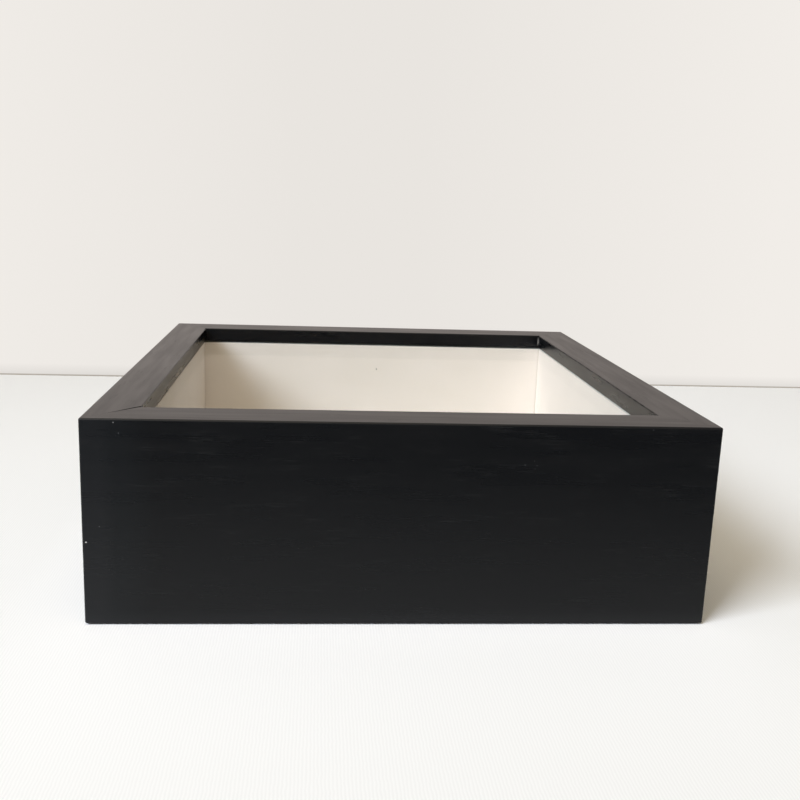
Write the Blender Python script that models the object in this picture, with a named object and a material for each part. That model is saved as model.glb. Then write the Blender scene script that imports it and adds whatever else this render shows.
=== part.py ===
"""A deep shadow box frame that is loaded from behind, lying on its back with the glass up.

Four mitred rails hold a pane of glass under their lip. Behind the glass stand four spacer walls,
then a mat and a backing board, and turn buttons on the rails keep the stack in.

Metres. +Z is out of the glass, -Y is the rail that is at the bottom when the frame hangs, and the
origin is the middle of the footprint, on the surface that the bumpers stand on.
"""

import math

import bmesh
import bpy
from mathutils import Matrix, Vector

# The pane, which sets the size of everything round it
GLASS_WIDTH = 0.2032
GLASS_HEIGHT = 0.2032
GLASS_THICKNESS = 0.0020
GLASS_ARRIS = 0.0003
GLASS_PLAY = 0.0005

# The rail's section
FACE_WIDTH = 0.0180
LIP_OVERHANG = 0.0060
LIP_THICKNESS = 0.0072
RAIL_DEPTH = 0.0760
OUTER_ARRIS = 0.0010
SIGHT_ARRIS = 0.0005
REAR_ARRIS = 0.0004
CORNER_RADIUS = 0.0010
MITRE_GAP = 0.0003

# The stack behind the glass
LINER_THICKNESS = 0.0050
MAT_THICKNESS = 0.0014
BACKING_THICKNESS = 0.0030
BACKING_RECESS = 0.0003
BACKING_ARRIS = 0.0003
BOARD_PLAY = 0.0005

# Clearances: between boards, under a seated fitting, and round a shank or a nail in its hole
FIT_GAP = 0.0003
SEAT_GAP = 0.0002
HOLE_CLEARANCE = 0.0003
OVERRUN = 0.0020

# Turn buttons, two to a rail
BUTTON_SPACING = 0.1080
BUTTON_THICKNESS = 0.0008
BUTTON_HEAD_RADIUS = 0.0048
BUTTON_TIP_RADIUS = 0.0031
BUTTON_REACH = 0.0190
BUTTON_TIP_BEND = 0.0050
BUTTON_TIP_LIFT = 0.0005
BUTTON_EDGE = 0.00012

# Pan-head wood screws for the buttons
SCREW_HEAD_RADIUS = 0.0028
SCREW_HEAD_HEIGHT = 0.0010
SCREW_SHANK_RADIUS = 0.0013
SCREW_LENGTH = 0.0095
SCREW_POINT = 0.0030
SCREW_RECESS_SPAN = 0.0026
SCREW_RECESS_WIDTH = 0.0007
SCREW_RECESS_DEPTH = 0.0006
RECESS_FLOOR_SHARE = 0.5
HEAD_RIM_SHARE = 0.33

# V-nails across the mitres
V_NAIL_WING = 0.0045
V_NAIL_THICKNESS = 0.0005
V_NAIL_DEPTH = 0.0100
V_NAIL_EDGE = 0.0012
V_NAIL_SINK = 0.0002
V_NAIL_HALF_ANGLE = math.radians(50)
V_NAIL_PLACE_SHARE = 0.32
V_NAIL_EDGE_SHARE = 0.35

# Sawtooth hanger on the top rail
HANGER_LENGTH = 0.0440
HANGER_WIDTH = 0.0080
HANGER_SHEET = 0.0007
HANGER_TAB = 0.0082
HANGER_SLOPE = 0.0024
HANGER_RISE = 0.0011
HANGER_CORNER = 0.0016
TOOTH_PITCH = 0.0020
TOOTH_DEPTH = 0.0016
TOOTH_COUNT = 11

# Nails for the hanger
NAIL_HEAD_RADIUS = 0.0016
NAIL_HEAD_HEIGHT = 0.0006
NAIL_SHANK_RADIUS = 0.0006
NAIL_LENGTH = 0.0090
NAIL_POINT = 0.0015

# Rubber bumpers, which stand a little prouder than the screws and the hanger
BUMPER_RADIUS = 0.0042
BUMPER_FLAT_RADIUS = 0.0026
BUMPER_SKIRT = 0.0008
BUMPER_CORNER_DISTANCE = 0.0200
GROUND_CLEARANCE = 0.0003

# How finely round things are cut, and how near two points are when they are one
ARC_STEPS = 5
ROUND_SEGMENTS = 24
SMALL_SEGMENTS = 16
DOME_STEPS = 4
SMOOTH_ANGLE = math.radians(35)
ARRIS_ANGLE = math.radians(60)
MERGE_SHARE = 0.05

# Places that follow from the sizes above
WALL = FACE_WIDTH - LIP_OVERHANG
REBATE_WIDTH = GLASS_WIDTH + 2 * GLASS_PLAY
REBATE_HEIGHT = GLASS_HEIGHT + 2 * GLASS_PLAY
FRAME_WIDTH = REBATE_WIDTH + 2 * WALL
FRAME_HEIGHT = REBATE_HEIGHT + 2 * WALL
FITTING_HEIGHT = SEAT_GAP + BUTTON_THICKNESS + SEAT_GAP + SCREW_HEAD_HEIGHT
BUMPER_HEIGHT = FITTING_HEIGHT + GROUND_CLEARANCE
REAR_Z = BUMPER_HEIGHT + SEAT_GAP
LIP_Z = REAR_Z + RAIL_DEPTH - LIP_THICKNESS
GLASS_TOP_Z = LIP_Z - FIT_GAP
LINER_TOP_Z = GLASS_TOP_Z - GLASS_THICKNESS - FIT_GAP
BACKING_Z = REAR_Z + BACKING_RECESS
MAT_Z = BACKING_Z + BACKING_THICKNESS + FIT_GAP
LINER_Z = MAT_Z + MAT_THICKNESS + FIT_GAP
SCREW_HOLE_RADIUS = SCREW_SHANK_RADIUS + HOLE_CLEARANCE
NAIL_HOLE_RADIUS = NAIL_SHANK_RADIUS + HOLE_CLEARANCE
NAIL_X = HANGER_LENGTH / 2 - HANGER_TAB / 2
MERGE_DISTANCE = SEAT_GAP * MERGE_SHARE

# Each rail's length, quarter turns from the bottom rail, and distance of its outer face from the middle
RAILS = {
    "bottom": (FRAME_WIDTH, 0, FRAME_HEIGHT / 2),
    "right": (FRAME_HEIGHT, 1, FRAME_WIDTH / 2),
    "top": (FRAME_WIDTH, 2, FRAME_HEIGHT / 2),
    "left": (FRAME_HEIGHT, 3, FRAME_WIDTH / 2),
}
# Each corner's sides of the middle, in X and Y
CORNERS = {
    "bottom_left": (-1, -1),
    "bottom_right": (1, -1),
    "top_right": (1, 1),
    "top_left": (-1, 1),
}
# The hanger's two nails, and the end of the top rail that each is nearer
NAIL_ENDS = {"right": -1, "left": 1}
# The names of a rail's two buttons, from its -X end to its +X end as the bottom rail lies
BUTTON_NAMES = {
    "bottom": ("left", "right"),
    "right": ("lower", "upper"),
    "top": ("right", "left"),
    "left": ("upper", "lower"),
}


# Scene, materials and objects


def clear_scene():
    for thing in list(bpy.data.objects):
        bpy.data.objects.remove(thing, do_unlink=True)


def linear(channel):
    value = channel / 255
    return value / 12.92 if value <= 0.04045 else ((value + 0.055) / 1.055) ** 2.4


def make_material(name, hex_colour, roughness, metallic=0.0, transmission=0.0):
    """A Principled material from an sRGB colour written as six hex digits."""
    material = bpy.data.materials.new(name)
    material.use_nodes = True
    shader = material.node_tree.nodes["Principled BSDF"]
    channels = [int(hex_colour[start : start + 2], 16) for start in (0, 2, 4)]
    colour = [linear(channel) for channel in channels] + [1.0]
    shader.inputs["Base Color"].default_value = colour
    shader.inputs["Roughness"].default_value = roughness
    shader.inputs["Metallic"].default_value = metallic
    shader.inputs["Transmission Weight"].default_value = transmission
    material.diffuse_color = colour
    return material


def make_materials():
    return {
        "rail": make_material("black_painted_wood", "2A2B2C", 0.45),
        "glass": make_material("clear_glass", "F4F8F6", 0.02, transmission=1.0),
        "liner": make_material("white_foam_board", "F2EEE6", 0.80),
        "mat": make_material("white_mat_board", "F4F1EA", 0.85),
        "backing": make_material("brown_hardboard", "7A5638", 0.70),
        "steel": make_material("zinc_plated_steel", "B4B6B8", 0.35, metallic=1.0),
        "brass": make_material("brass_plated_steel", "BFA060", 0.35, metallic=1.0),
        "rubber": make_material("grey_rubber", "3A3A3B", 0.75),
    }


def add_object(name, bm, material, placed=None):
    """Gives a bmesh to a new object of its own, placed by a matrix."""
    bmesh.ops.recalc_face_normals(bm, faces=bm.faces)
    mesh = bpy.data.meshes.new(name)
    bm.to_mesh(mesh)
    bm.free()
    if material:
        mesh.materials.append(material)
    thing = bpy.data.objects.new(name, mesh)
    bpy.context.scene.collection.objects.link(thing)
    if placed:
        thing.matrix_world = placed
    return thing


def add_cutter(name, bm, placed=None):
    """A hidden shape that only cuts others."""
    thing = add_object(name, bm, None, placed)
    thing.hide_render = True
    thing.display_type = "WIRE"
    return thing


def cut(thing, cutter):
    step = thing.modifiers.new("Cut " + cutter.name, "BOOLEAN")
    step.operation = "DIFFERENCE"
    step.solver = "EXACT"
    step.object = cutter


def smooth_round(thing):
    thing.data.shade_smooth()
    thing.data.set_sharp_from_angle(angle=SMOOTH_ANGLE)


# Shapes


def arc_points(centre, radius, start, end, steps):
    """Points on an arc, both ends included."""
    turns = [start + (end - start) * step / steps for step in range(steps + 1)]
    return [
        (centre[0] + radius * math.cos(turn), centre[1] + radius * math.sin(turn))
        for turn in turns
    ]


def rounded_outline(corners):
    """An outline through corners given as (x, y, radius), each square corner rounded by its radius."""
    points = []
    for index, (x, y, radius) in enumerate(corners):
        corner = Vector((x, y))
        before = Vector(corners[index - 1][:2]) - corner
        after = Vector(corners[(index + 1) % len(corners)][:2]) - corner
        if radius == 0:
            points.append((x, y))
            continue
        into, out = before.normalized(), after.normalized()
        centre = corner + (into + out) * radius
        start, end = corner + into * radius - centre, corner + out * radius - centre
        first = math.atan2(start.y, start.x)
        sweep = start.angle_signed(end)
        points += arc_points(centre, radius, first, first - sweep, ARC_STEPS)
    return points


def add_loop(bm, points, z):
    """A closed loop of edges through points at height z."""
    corners = [bm.verts.new((x, y, z)) for x, y in points]
    return [bm.edges.new((corners[i - 1], corners[i])) for i in range(len(corners))]


def prism(points, bottom, top):
    """An outline extruded from one height to another."""
    bm = bmesh.new()
    edges = add_loop(bm, points, bottom)
    face = bmesh.ops.contextual_create(bm, geom=edges)["faces"]
    grown = bmesh.ops.extrude_face_region(bm, geom=face)["geom"]
    raised = [part for part in grown if isinstance(part, bmesh.types.BMVert)]
    bmesh.ops.translate(bm, vec=(0, 0, top - bottom), verts=raised)
    bmesh.ops.recalc_face_normals(bm, faces=bm.faces)
    return bm


def loft(sections):
    """A closed solid through outlines of like point counts, given as (points, z)."""
    bm = bmesh.new()
    loops = [add_loop(bm, points, z) for points, z in sections]
    for lower, upper in zip(loops, loops[1:]):
        bmesh.ops.bridge_loops(bm, edges=lower + upper)
    bmesh.ops.contextual_create(bm, geom=loops[0])
    bmesh.ops.contextual_create(bm, geom=loops[-1])
    bmesh.ops.recalc_face_normals(bm, faces=bm.faces)
    return bm


def turned(profile, segments):
    """A profile of (radius, z) points spun about Z. It starts and ends on the axis."""
    bm = bmesh.new()
    line = [bm.verts.new((radius, 0, z)) for radius, z in profile]
    edges = [bm.edges.new(pair) for pair in zip(line, line[1:])]
    bmesh.ops.spin(
        bm,
        geom=line + edges,
        cent=(0, 0, 0),
        axis=(0, 0, 1),
        angle=2 * math.pi,
        steps=segments,
        use_merge=True,
    )
    bmesh.ops.remove_doubles(bm, verts=bm.verts, dist=MERGE_DISTANCE)
    bmesh.ops.dissolve_degenerate(bm, edges=bm.edges, dist=MERGE_DISTANCE)
    return bm


def cylinder_profile(radius, bottom, top):
    return [(0, bottom), (radius, bottom), (radius, top), (0, top)]


def board(width, height, bottom, top):
    """A flat board centred on Z."""
    bm = bmesh.new()
    bmesh.ops.create_cube(bm, size=1)
    bmesh.ops.scale(bm, vec=(width, height, top - bottom), verts=bm.verts)
    bmesh.ops.translate(bm, vec=(0, 0, (bottom + top) / 2), verts=bm.verts)
    return bm


def bevel_edges(thing, width):
    step = thing.modifiers.new("Arris", "BEVEL")
    step.width = width
    step.segments = 1
    step.limit_method = "ANGLE"
    step.angle_limit = ARRIS_ANGLE


# Rails


def rail_place(side):
    """A rail's own place: its outer edge along X, inwards along +Y, its rear face at z = 0."""
    length, quarter_turns, distance = RAILS[side]
    turn = Matrix.Rotation(quarter_turns * math.pi / 2, 4, "Z")
    return turn @ Matrix.Translation((0, -distance, REAR_Z))


def rail_section():
    """The L of the rail: inwards and up from its rear outer corner."""
    return rounded_outline(
        [
            (0, 0, REAR_ARRIS),
            (WALL, 0, REAR_ARRIS),
            (WALL, RAIL_DEPTH - LIP_THICKNESS, 0),
            (FACE_WIDTH, RAIL_DEPTH - LIP_THICKNESS, REAR_ARRIS),
            (FACE_WIDTH, RAIL_DEPTH, SIGHT_ARRIS),
            (0, RAIL_DEPTH, OUTER_ARRIS),
        ]
    )


def saw_mitre(bm, length, end):
    """Cuts one end of a rail at 45 degrees, half the mitre's gap short of its neighbour."""
    normal = Vector((end, 1, 0)).normalized()
    place = Vector((end * length / 2, 0, 0)) - normal * MITRE_GAP / 2
    everything = bm.verts[:] + bm.edges[:] + bm.faces[:]
    sawn = bmesh.ops.bisect_plane(
        bm, geom=everything, plane_co=place, plane_no=normal, clear_outer=True
    )
    rim = [part for part in sawn["geom_cut"] if isinstance(part, bmesh.types.BMEdge)]
    bmesh.ops.contextual_create(bm, geom=rim)


def corner_rounder(corner):
    """What sanding takes off one upright corner, over both rails. The arc's ends lie just inside them."""
    side_x, side_y = CORNERS[corner]
    centre = (CORNER_RADIUS, CORNER_RADIUS)
    half_step = math.pi / 4 / ARC_STEPS
    arc = arc_points(centre, CORNER_RADIUS, math.pi * 1.5 - half_step, math.pi + half_step, ARC_STEPS - 1)
    outline = [(-OVERRUN, -OVERRUN), (CORNER_RADIUS, -OVERRUN)] + arc + [(-OVERRUN, CORNER_RADIUS)]
    turn = Matrix.Rotation(math.atan2(-side_y, -side_x) - math.pi / 4, 4, "Z")
    at_corner = Matrix.Translation((side_x * FRAME_WIDTH / 2, side_y * FRAME_HEIGHT / 2, REAR_Z))
    return add_cutter("sanded_" + corner, prism(outline, -OVERRUN, RAIL_DEPTH + OVERRUN), at_corner @ turn)


def make_rail(side, material, cutters):
    length = RAILS[side][0]
    bm = prism(rail_section(), -length / 2, length / 2)
    stand_up = Matrix(((0, 0, 1, 0), (1, 0, 0, 0), (0, 1, 0, 0), (0, 0, 0, 1)))
    bmesh.ops.transform(bm, matrix=stand_up, verts=bm.verts)
    for end in (-1, 1):
        saw_mitre(bm, length, end)
    rail = add_object("rail_" + side, bm, material, rail_place(side))
    smooth_round(rail)
    for cutter in cutters:
        cut(rail, cutter)
    return rail


# V-nails


def chevron(grown):
    """A V-nail's outline, its spine at the origin and its wings along +X, grown all round."""
    half = V_NAIL_THICKNESS / 2 + grown
    reach = V_NAIL_WING + grown
    along = Vector((math.cos(V_NAIL_HALF_ANGLE), math.sin(V_NAIL_HALF_ANGLE)))
    across = Vector((-along.y, along.x))
    spine = half / math.sin(V_NAIL_HALF_ANGLE)
    outer = along * reach + across * half
    inner = along * reach - across * half
    return [
        (-spine, 0),
        (outer.x, -outer.y),
        (inner.x, -inner.y),
        (spine, 0),
        (inner.x, inner.y),
        (outer.x, outer.y),
    ]


def corner_place(corner):
    """A V-nail's place on the rear face: its spine on the mitre, its wings pointing inwards."""
    side_x, side_y = CORNERS[corner]
    from_corner = WALL * V_NAIL_PLACE_SHARE
    x = side_x * (FRAME_WIDTH / 2 - from_corner)
    y = side_y * (FRAME_HEIGHT / 2 - from_corner)
    turn = Matrix.Rotation(math.atan2(-side_y, -side_x), 4, "Z")
    return Matrix.Translation((x, y, REAR_Z)) @ turn


def make_v_nail(corner, material):
    sharp = V_NAIL_THICKNESS * (V_NAIL_EDGE_SHARE - 1) / 2
    top = V_NAIL_SINK + V_NAIL_DEPTH
    sections = [
        (chevron(0), V_NAIL_SINK),
        (chevron(0), top - V_NAIL_EDGE),
        (chevron(sharp), top),
    ]
    return add_object("v_nail_" + corner, loft(sections), material, corner_place(corner))


def v_nail_pocket(corner):
    top = V_NAIL_SINK + V_NAIL_DEPTH + HOLE_CLEARANCE
    bm = prism(chevron(HOLE_CLEARANCE), -OVERRUN, top)
    return add_cutter("pocket_" + corner, bm, corner_place(corner))


# Turn buttons and their screws


def button_outline():
    """A round head about the pivot and a narrower round tip, joined by their two tangents."""
    tip_centre = BUTTON_REACH - BUTTON_TIP_RADIUS
    lean = math.acos((BUTTON_HEAD_RADIUS - BUTTON_TIP_RADIUS) / tip_centre)
    steps = ROUND_SEGMENTS // 2
    head = arc_points((0, 0), BUTTON_HEAD_RADIUS, lean, 2 * math.pi - lean, steps)
    tip = arc_points((tip_centre, 0), BUTTON_TIP_RADIUS, -lean, lean, steps // 2)
    return head + tip


def make_button_mesh(material):
    """A stamped button, its pivot at the origin, its tip bent clear of the board."""
    bm = prism(button_outline(), -BUTTON_THICKNESS, 0)
    bend = BUTTON_REACH - BUTTON_TIP_BEND
    everything = bm.verts[:] + bm.edges[:] + bm.faces[:]
    bmesh.ops.bisect_plane(bm, geom=everything, plane_co=(bend, 0, 0), plane_no=(1, 0, 0))
    for corner in bm.verts:
        beyond = max(corner.co.x - bend, 0)
        corner.co.z -= BUTTON_TIP_LIFT * beyond / BUTTON_TIP_BEND
    mesh = bpy.data.meshes.new("turn_button")
    bmesh.ops.recalc_face_normals(bm, faces=bm.faces)
    bm.to_mesh(mesh)
    bm.free()
    mesh.materials.append(material)
    return mesh


def button_place(side, end):
    """A button's pivot on the middle of the rail's rear face, its blade pointing inwards."""
    pivot = Matrix.Translation((end * BUTTON_SPACING / 2, WALL / 2, -SEAT_GAP))
    return rail_place(side) @ pivot @ Matrix.Rotation(math.pi / 2, 4, "Z")


def make_button(name, mesh, placed):
    button = bpy.data.objects.new("turn_button_" + name, mesh)
    bpy.context.scene.collection.objects.link(button)
    button.matrix_world = placed
    profile = cylinder_profile(SCREW_HOLE_RADIUS, -BUTTON_THICKNESS - OVERRUN, OVERRUN)
    cut(button, add_cutter("button_hole_" + name, turned(profile, ROUND_SEGMENTS), placed))
    bevel_edges(button, BUTTON_EDGE)
    return button


def domed_head(radius, height):
    """The crown of a head that bears at z = 0 and rises to -height, from its middle to its rim."""
    rim = height * HEAD_RIM_SHARE
    steps = range(DOME_STEPS + 1)
    turns = [math.pi / 2 * step / DOME_STEPS for step in steps]
    return [
        (radius * math.sin(turn), -rim - (height - rim) * math.cos(turn)) for turn in turns
    ]


def fastener_profile(head_radius, head_height, shank_radius, length, point):
    """A domed head below z = 0 and a pointed shank above it."""
    shank = [(shank_radius, 0), (shank_radius, length - point), (0, length)]
    return domed_head(head_radius, head_height) + [(head_radius, 0)] + shank


def cross_recess():
    """The cross that a driver fits, tapering to its floor."""
    arm, half = SCREW_RECESS_SPAN / 2, SCREW_RECESS_WIDTH / 2
    corners = [(arm, -half), (arm, half), (half, half), (half, arm)]
    outline = [
        point
        for turn in range(4)
        for point in (quarter_turned(corner, turn) for corner in corners[:3])
    ]
    crown = -SCREW_HEAD_HEIGHT
    small = [(x * RECESS_FLOOR_SHARE, y * RECESS_FLOOR_SHARE) for x, y in outline]
    return loft([(outline, crown - OVERRUN), (outline, crown), (small, crown + SCREW_RECESS_DEPTH)])


def quarter_turned(point, turns):
    x, y = point
    for _ in range(turns):
        x, y = -y, x
    return (x, y)


def make_screw(name, material, placed):
    profile = fastener_profile(
        SCREW_HEAD_RADIUS, SCREW_HEAD_HEIGHT, SCREW_SHANK_RADIUS, SCREW_LENGTH, SCREW_POINT
    )
    below = Matrix.Translation((0, 0, -BUTTON_THICKNESS - SEAT_GAP))
    screw = add_object("button_screw_" + name, turned(profile, SMALL_SEGMENTS), material, placed @ below)
    smooth_round(screw)
    cut(screw, add_cutter("recess_" + name, cross_recess(), placed @ below))
    return screw


def screw_hole(name, placed):
    """The pilot hole that a button's screw stands in, a little wider and deeper than it."""
    profile = cylinder_profile(SCREW_HOLE_RADIUS, -OVERRUN, SCREW_LENGTH)
    return add_cutter("pilot_" + name, turned(profile, SMALL_SEGMENTS), placed)


# Sawtooth hanger and its nails


def hanger_place():
    """The hanger's place: flat on the middle of the top rail's rear face, the frame's inside along +Y."""
    return rail_place("top") @ Matrix.Translation((0, WALL / 2, -SEAT_GAP))


def hanger_side():
    """The hanger seen along its width: two tabs on the wood and a raised bridge between them."""
    end = HANGER_LENGTH / 2
    near = end - HANGER_TAB
    far = near - HANGER_SLOPE
    upper = [(-end, 0), (-near, 0), (-far, -HANGER_RISE), (far, -HANGER_RISE), (near, 0), (end, 0)]
    lower = [(x, z - HANGER_SHEET) for x, z in reversed(upper)]
    return upper + lower


def tooth_cutter():
    """A zigzag that cuts the teeth into the hanger's inner edge, one notch on the middle line."""
    edge = HANGER_WIDTH / 2
    half_span = TOOTH_PITCH * TOOTH_COUNT / 2
    points = [(half_span, edge + OVERRUN), (-half_span, edge + OVERRUN), (-half_span, edge)]
    for notch in range(TOOTH_COUNT):
        left = -half_span + notch * TOOTH_PITCH
        points.append((left + TOOTH_PITCH / 2, edge - TOOTH_DEPTH))
        points.append((left + TOOTH_PITCH, edge))
    bottom = -HANGER_RISE - HANGER_SHEET - OVERRUN
    return add_cutter("teeth", prism(points, bottom, OVERRUN), hanger_place())


def stands_at_end(edge):
    """Whether an edge of the hanger is one of the four that stand at its corners."""
    first, second = (corner.co for corner in edge.verts)
    at_end = min(abs(first.x), abs(second.x)) > HANGER_LENGTH / 2 - HANGER_SHEET
    return at_end and abs(first.z - second.z) > HANGER_SHEET / 2


def make_hanger(material):
    bm = prism(hanger_side(), -HANGER_WIDTH / 2, HANGER_WIDTH / 2)
    lay_down = Matrix(((1, 0, 0, 0), (0, 0, -1, 0), (0, 1, 0, 0), (0, 0, 0, 1)))
    bmesh.ops.transform(bm, matrix=lay_down, verts=bm.verts)
    ends = [edge for edge in bm.edges if stands_at_end(edge)]
    bmesh.ops.bevel(
        bm,
        geom=ends,
        offset=HANGER_CORNER,
        offset_type="OFFSET",
        segments=DOME_STEPS,
        profile=0.5,
        affect="EDGES",
        material=-1,
    )
    hanger = add_object("sawtooth_hanger", bm, material, hanger_place())
    cut(hanger, tooth_cutter())
    for name, end in NAIL_ENDS.items():
        hole = cylinder_profile(NAIL_HOLE_RADIUS, -HANGER_SHEET - OVERRUN, OVERRUN)
        cut(hanger, add_cutter("nail_hole_" + name, turned(hole, SMALL_SEGMENTS), nail_place(end)))
    return hanger


def nail_place(end):
    return hanger_place() @ Matrix.Translation((end * NAIL_X, 0, 0))


def make_nail(name, end, material):
    profile = fastener_profile(
        NAIL_HEAD_RADIUS, NAIL_HEAD_HEIGHT, NAIL_SHANK_RADIUS, NAIL_LENGTH, NAIL_POINT
    )
    placed = nail_place(end) @ Matrix.Translation((0, 0, -HANGER_SHEET - SEAT_GAP))
    nail = add_object("hanger_nail_" + name, turned(profile, SMALL_SEGMENTS), material, placed)
    smooth_round(nail)
    return nail


def nail_pilot(name, end):
    profile = cylinder_profile(NAIL_HOLE_RADIUS, -OVERRUN, NAIL_LENGTH)
    return add_cutter("nail_pilot_" + name, turned(profile, SMALL_SEGMENTS), nail_place(end))


# Glass, liners, mat and backing


def make_glass(material):
    bottom = GLASS_TOP_Z - GLASS_THICKNESS
    pane = add_object(
        "glass_pane", board(GLASS_WIDTH, GLASS_HEIGHT, bottom, GLASS_TOP_Z), material
    )
    bevel_edges(pane, GLASS_ARRIS)
    return pane


def make_liners(material):
    """The bottom and top walls run the full width, and the left and right ones stand between them."""
    full = REBATE_WIDTH - 2 * FIT_GAP
    between = REBATE_HEIGHT - 4 * FIT_GAP - 2 * LINER_THICKNESS
    away_y = REBATE_HEIGHT / 2 - FIT_GAP - LINER_THICKNESS / 2
    away_x = REBATE_WIDTH / 2 - FIT_GAP - LINER_THICKNESS / 2
    for side, x, y, width, height in (
        ("bottom", 0, -away_y, full, LINER_THICKNESS),
        ("right", away_x, 0, LINER_THICKNESS, between),
        ("top", 0, away_y, full, LINER_THICKNESS),
        ("left", -away_x, 0, LINER_THICKNESS, between),
    ):
        bm = board(width, height, LINER_Z, LINER_TOP_Z)
        add_object("liner_" + side, bm, material, Matrix.Translation((x, y, 0)))


def make_boards(mat_material, backing_material):
    width = REBATE_WIDTH - 2 * BOARD_PLAY
    height = REBATE_HEIGHT - 2 * BOARD_PLAY
    add_object("backing_mat", board(width, height, MAT_Z, MAT_Z + MAT_THICKNESS), mat_material)
    backing = add_object(
        "backing_board",
        board(width, height, BACKING_Z, BACKING_Z + BACKING_THICKNESS),
        backing_material,
    )
    bevel_edges(backing, BACKING_ARRIS)


# Bumpers


def make_bumpers(material):
    """Turned rubber feet on the left and right rails, clear of the mitres."""
    shoulder = BUMPER_HEIGHT - BUMPER_SKIRT
    spread = BUMPER_RADIUS - BUMPER_FLAT_RADIUS
    unit_arc = arc_points((0, 1), 1, -math.pi / 2, 0, DOME_STEPS)
    dome = [(BUMPER_FLAT_RADIUS + spread * out, shoulder * up) for out, up in unit_arc]
    profile = [(0, 0)] + dome + [(BUMPER_RADIUS, BUMPER_HEIGHT), (0, BUMPER_HEIGHT)]
    for corner, (side_x, side_y) in CORNERS.items():
        x = side_x * (FRAME_WIDTH / 2 - WALL / 2)
        y = side_y * (FRAME_HEIGHT / 2 - BUMPER_CORNER_DISTANCE)
        bm = turned(profile, ROUND_SEGMENTS)
        bumper = add_object("bumper_" + corner, bm, material, Matrix.Translation((x, y, 0)))
        smooth_round(bumper)


# Assembly


def build():
    clear_scene()
    materials = make_materials()
    cutters = {side: [] for side in RAILS}

    for corner in CORNERS:
        make_v_nail(corner, materials["steel"])
        corner_cutters = [v_nail_pocket(corner), corner_rounder(corner)]
        for side in corner.split("_"):
            cutters[side] += corner_cutters

    button_mesh = make_button_mesh(materials["steel"])
    for side, names in BUTTON_NAMES.items():
        for end, name in zip((-1, 1), names):
            full_name = side + "_" + name
            placed = button_place(side, end)
            make_button(full_name, button_mesh, placed)
            make_screw(full_name, materials["steel"], placed)
            cutters[side].append(screw_hole(full_name, placed))

    make_hanger(materials["brass"])
    for name, end in NAIL_ENDS.items():
        make_nail(name, end, materials["brass"])
        cutters["top"].append(nail_pilot(name, end))

    for side in RAILS:
        make_rail(side, materials["rail"], cutters[side])
    make_glass(materials["glass"])
    make_liners(materials["liner"])
    make_boards(materials["mat"], materials["backing"])
    make_bumpers(materials["rubber"])


build()
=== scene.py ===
# %% [markdown]
# # A black shadow box frame, lying on its back
#
# A shadow box frame is a picture frame as deep as a drawer. Four mitred rails, each cut to an L in
# section, hold a square of glass under their lip. White spacer walls stand behind the glass, and a mat
# and a hardboard back close the box. The frame is loaded from behind, and small turn buttons keep
# everything in.
#
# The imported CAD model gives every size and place. This script dresses it: each step below makes one
# group of pieces or one finish, and says why it is made that way.

# %% Load the CAD frame
import math

import bmesh
import bpy
from mathutils import Matrix, Vector


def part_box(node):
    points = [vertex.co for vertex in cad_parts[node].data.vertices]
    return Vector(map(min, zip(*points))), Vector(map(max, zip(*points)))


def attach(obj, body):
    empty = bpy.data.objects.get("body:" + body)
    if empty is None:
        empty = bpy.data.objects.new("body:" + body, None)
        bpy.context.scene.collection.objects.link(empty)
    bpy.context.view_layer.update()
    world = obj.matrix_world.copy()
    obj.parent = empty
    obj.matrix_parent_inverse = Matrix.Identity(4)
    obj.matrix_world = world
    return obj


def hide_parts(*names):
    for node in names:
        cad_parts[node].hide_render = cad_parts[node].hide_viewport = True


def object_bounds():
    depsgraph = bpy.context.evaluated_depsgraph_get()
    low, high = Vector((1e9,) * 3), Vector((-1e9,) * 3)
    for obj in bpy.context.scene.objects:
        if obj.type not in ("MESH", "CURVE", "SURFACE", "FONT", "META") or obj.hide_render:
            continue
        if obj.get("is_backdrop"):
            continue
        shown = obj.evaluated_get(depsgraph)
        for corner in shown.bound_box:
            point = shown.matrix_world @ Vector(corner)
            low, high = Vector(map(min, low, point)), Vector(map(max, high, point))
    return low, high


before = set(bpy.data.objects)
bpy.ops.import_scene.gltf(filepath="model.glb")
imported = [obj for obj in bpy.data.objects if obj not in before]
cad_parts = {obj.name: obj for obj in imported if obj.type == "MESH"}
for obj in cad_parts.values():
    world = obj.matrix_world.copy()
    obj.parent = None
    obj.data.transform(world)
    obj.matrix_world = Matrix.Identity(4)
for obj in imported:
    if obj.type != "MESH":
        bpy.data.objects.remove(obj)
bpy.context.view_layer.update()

# %% [markdown]
# ## Sizes
#
# The glass, the boards and the rails are read from the CAD nodes' boxes, so a new pack with other sizes
# still fits. What a box can't tell, such as how round an edge is sanded, is named here.

# %% Read the main sizes from the CAD nodes
rail_low, rail_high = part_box("rail_bottom")
glass_low, glass_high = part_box("glass_pane")
liner_low, liner_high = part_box("liner_bottom")

HALF = -rail_low.y
FACE = rail_high.y - rail_low.y
REAR_Z = rail_low.z
TOP_Z = rail_high.z
SIGHT_HALF = HALF - FACE

LIP_CLEARANCE = 0.0003
LIP_Z = glass_high.z + LIP_CLEARANCE
GLASS_PLAY = 0.0005
WALL = HALF - glass_high.x - GLASS_PLAY

OUTER_ROUND = 0.0007
SIGHT_ROUND = 0.0005
REAR_ROUND = 0.0004
LIP_ROUND = 0.0003
print("Outer half width, face, wall in mm:", [round(size * 1000, 2) for size in (HALF, FACE, WALL)])

# %% [markdown]
# ## Small helpers
#
# Colours are written as a paint shop would write them, as hex digits, and turned linear in one place.
# `add_node` adds any shader node: a setting names either a property or an input of the node, and when
# the value is another node's output, the two are linked. A colour ramp's stops are one more setting.


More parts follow.
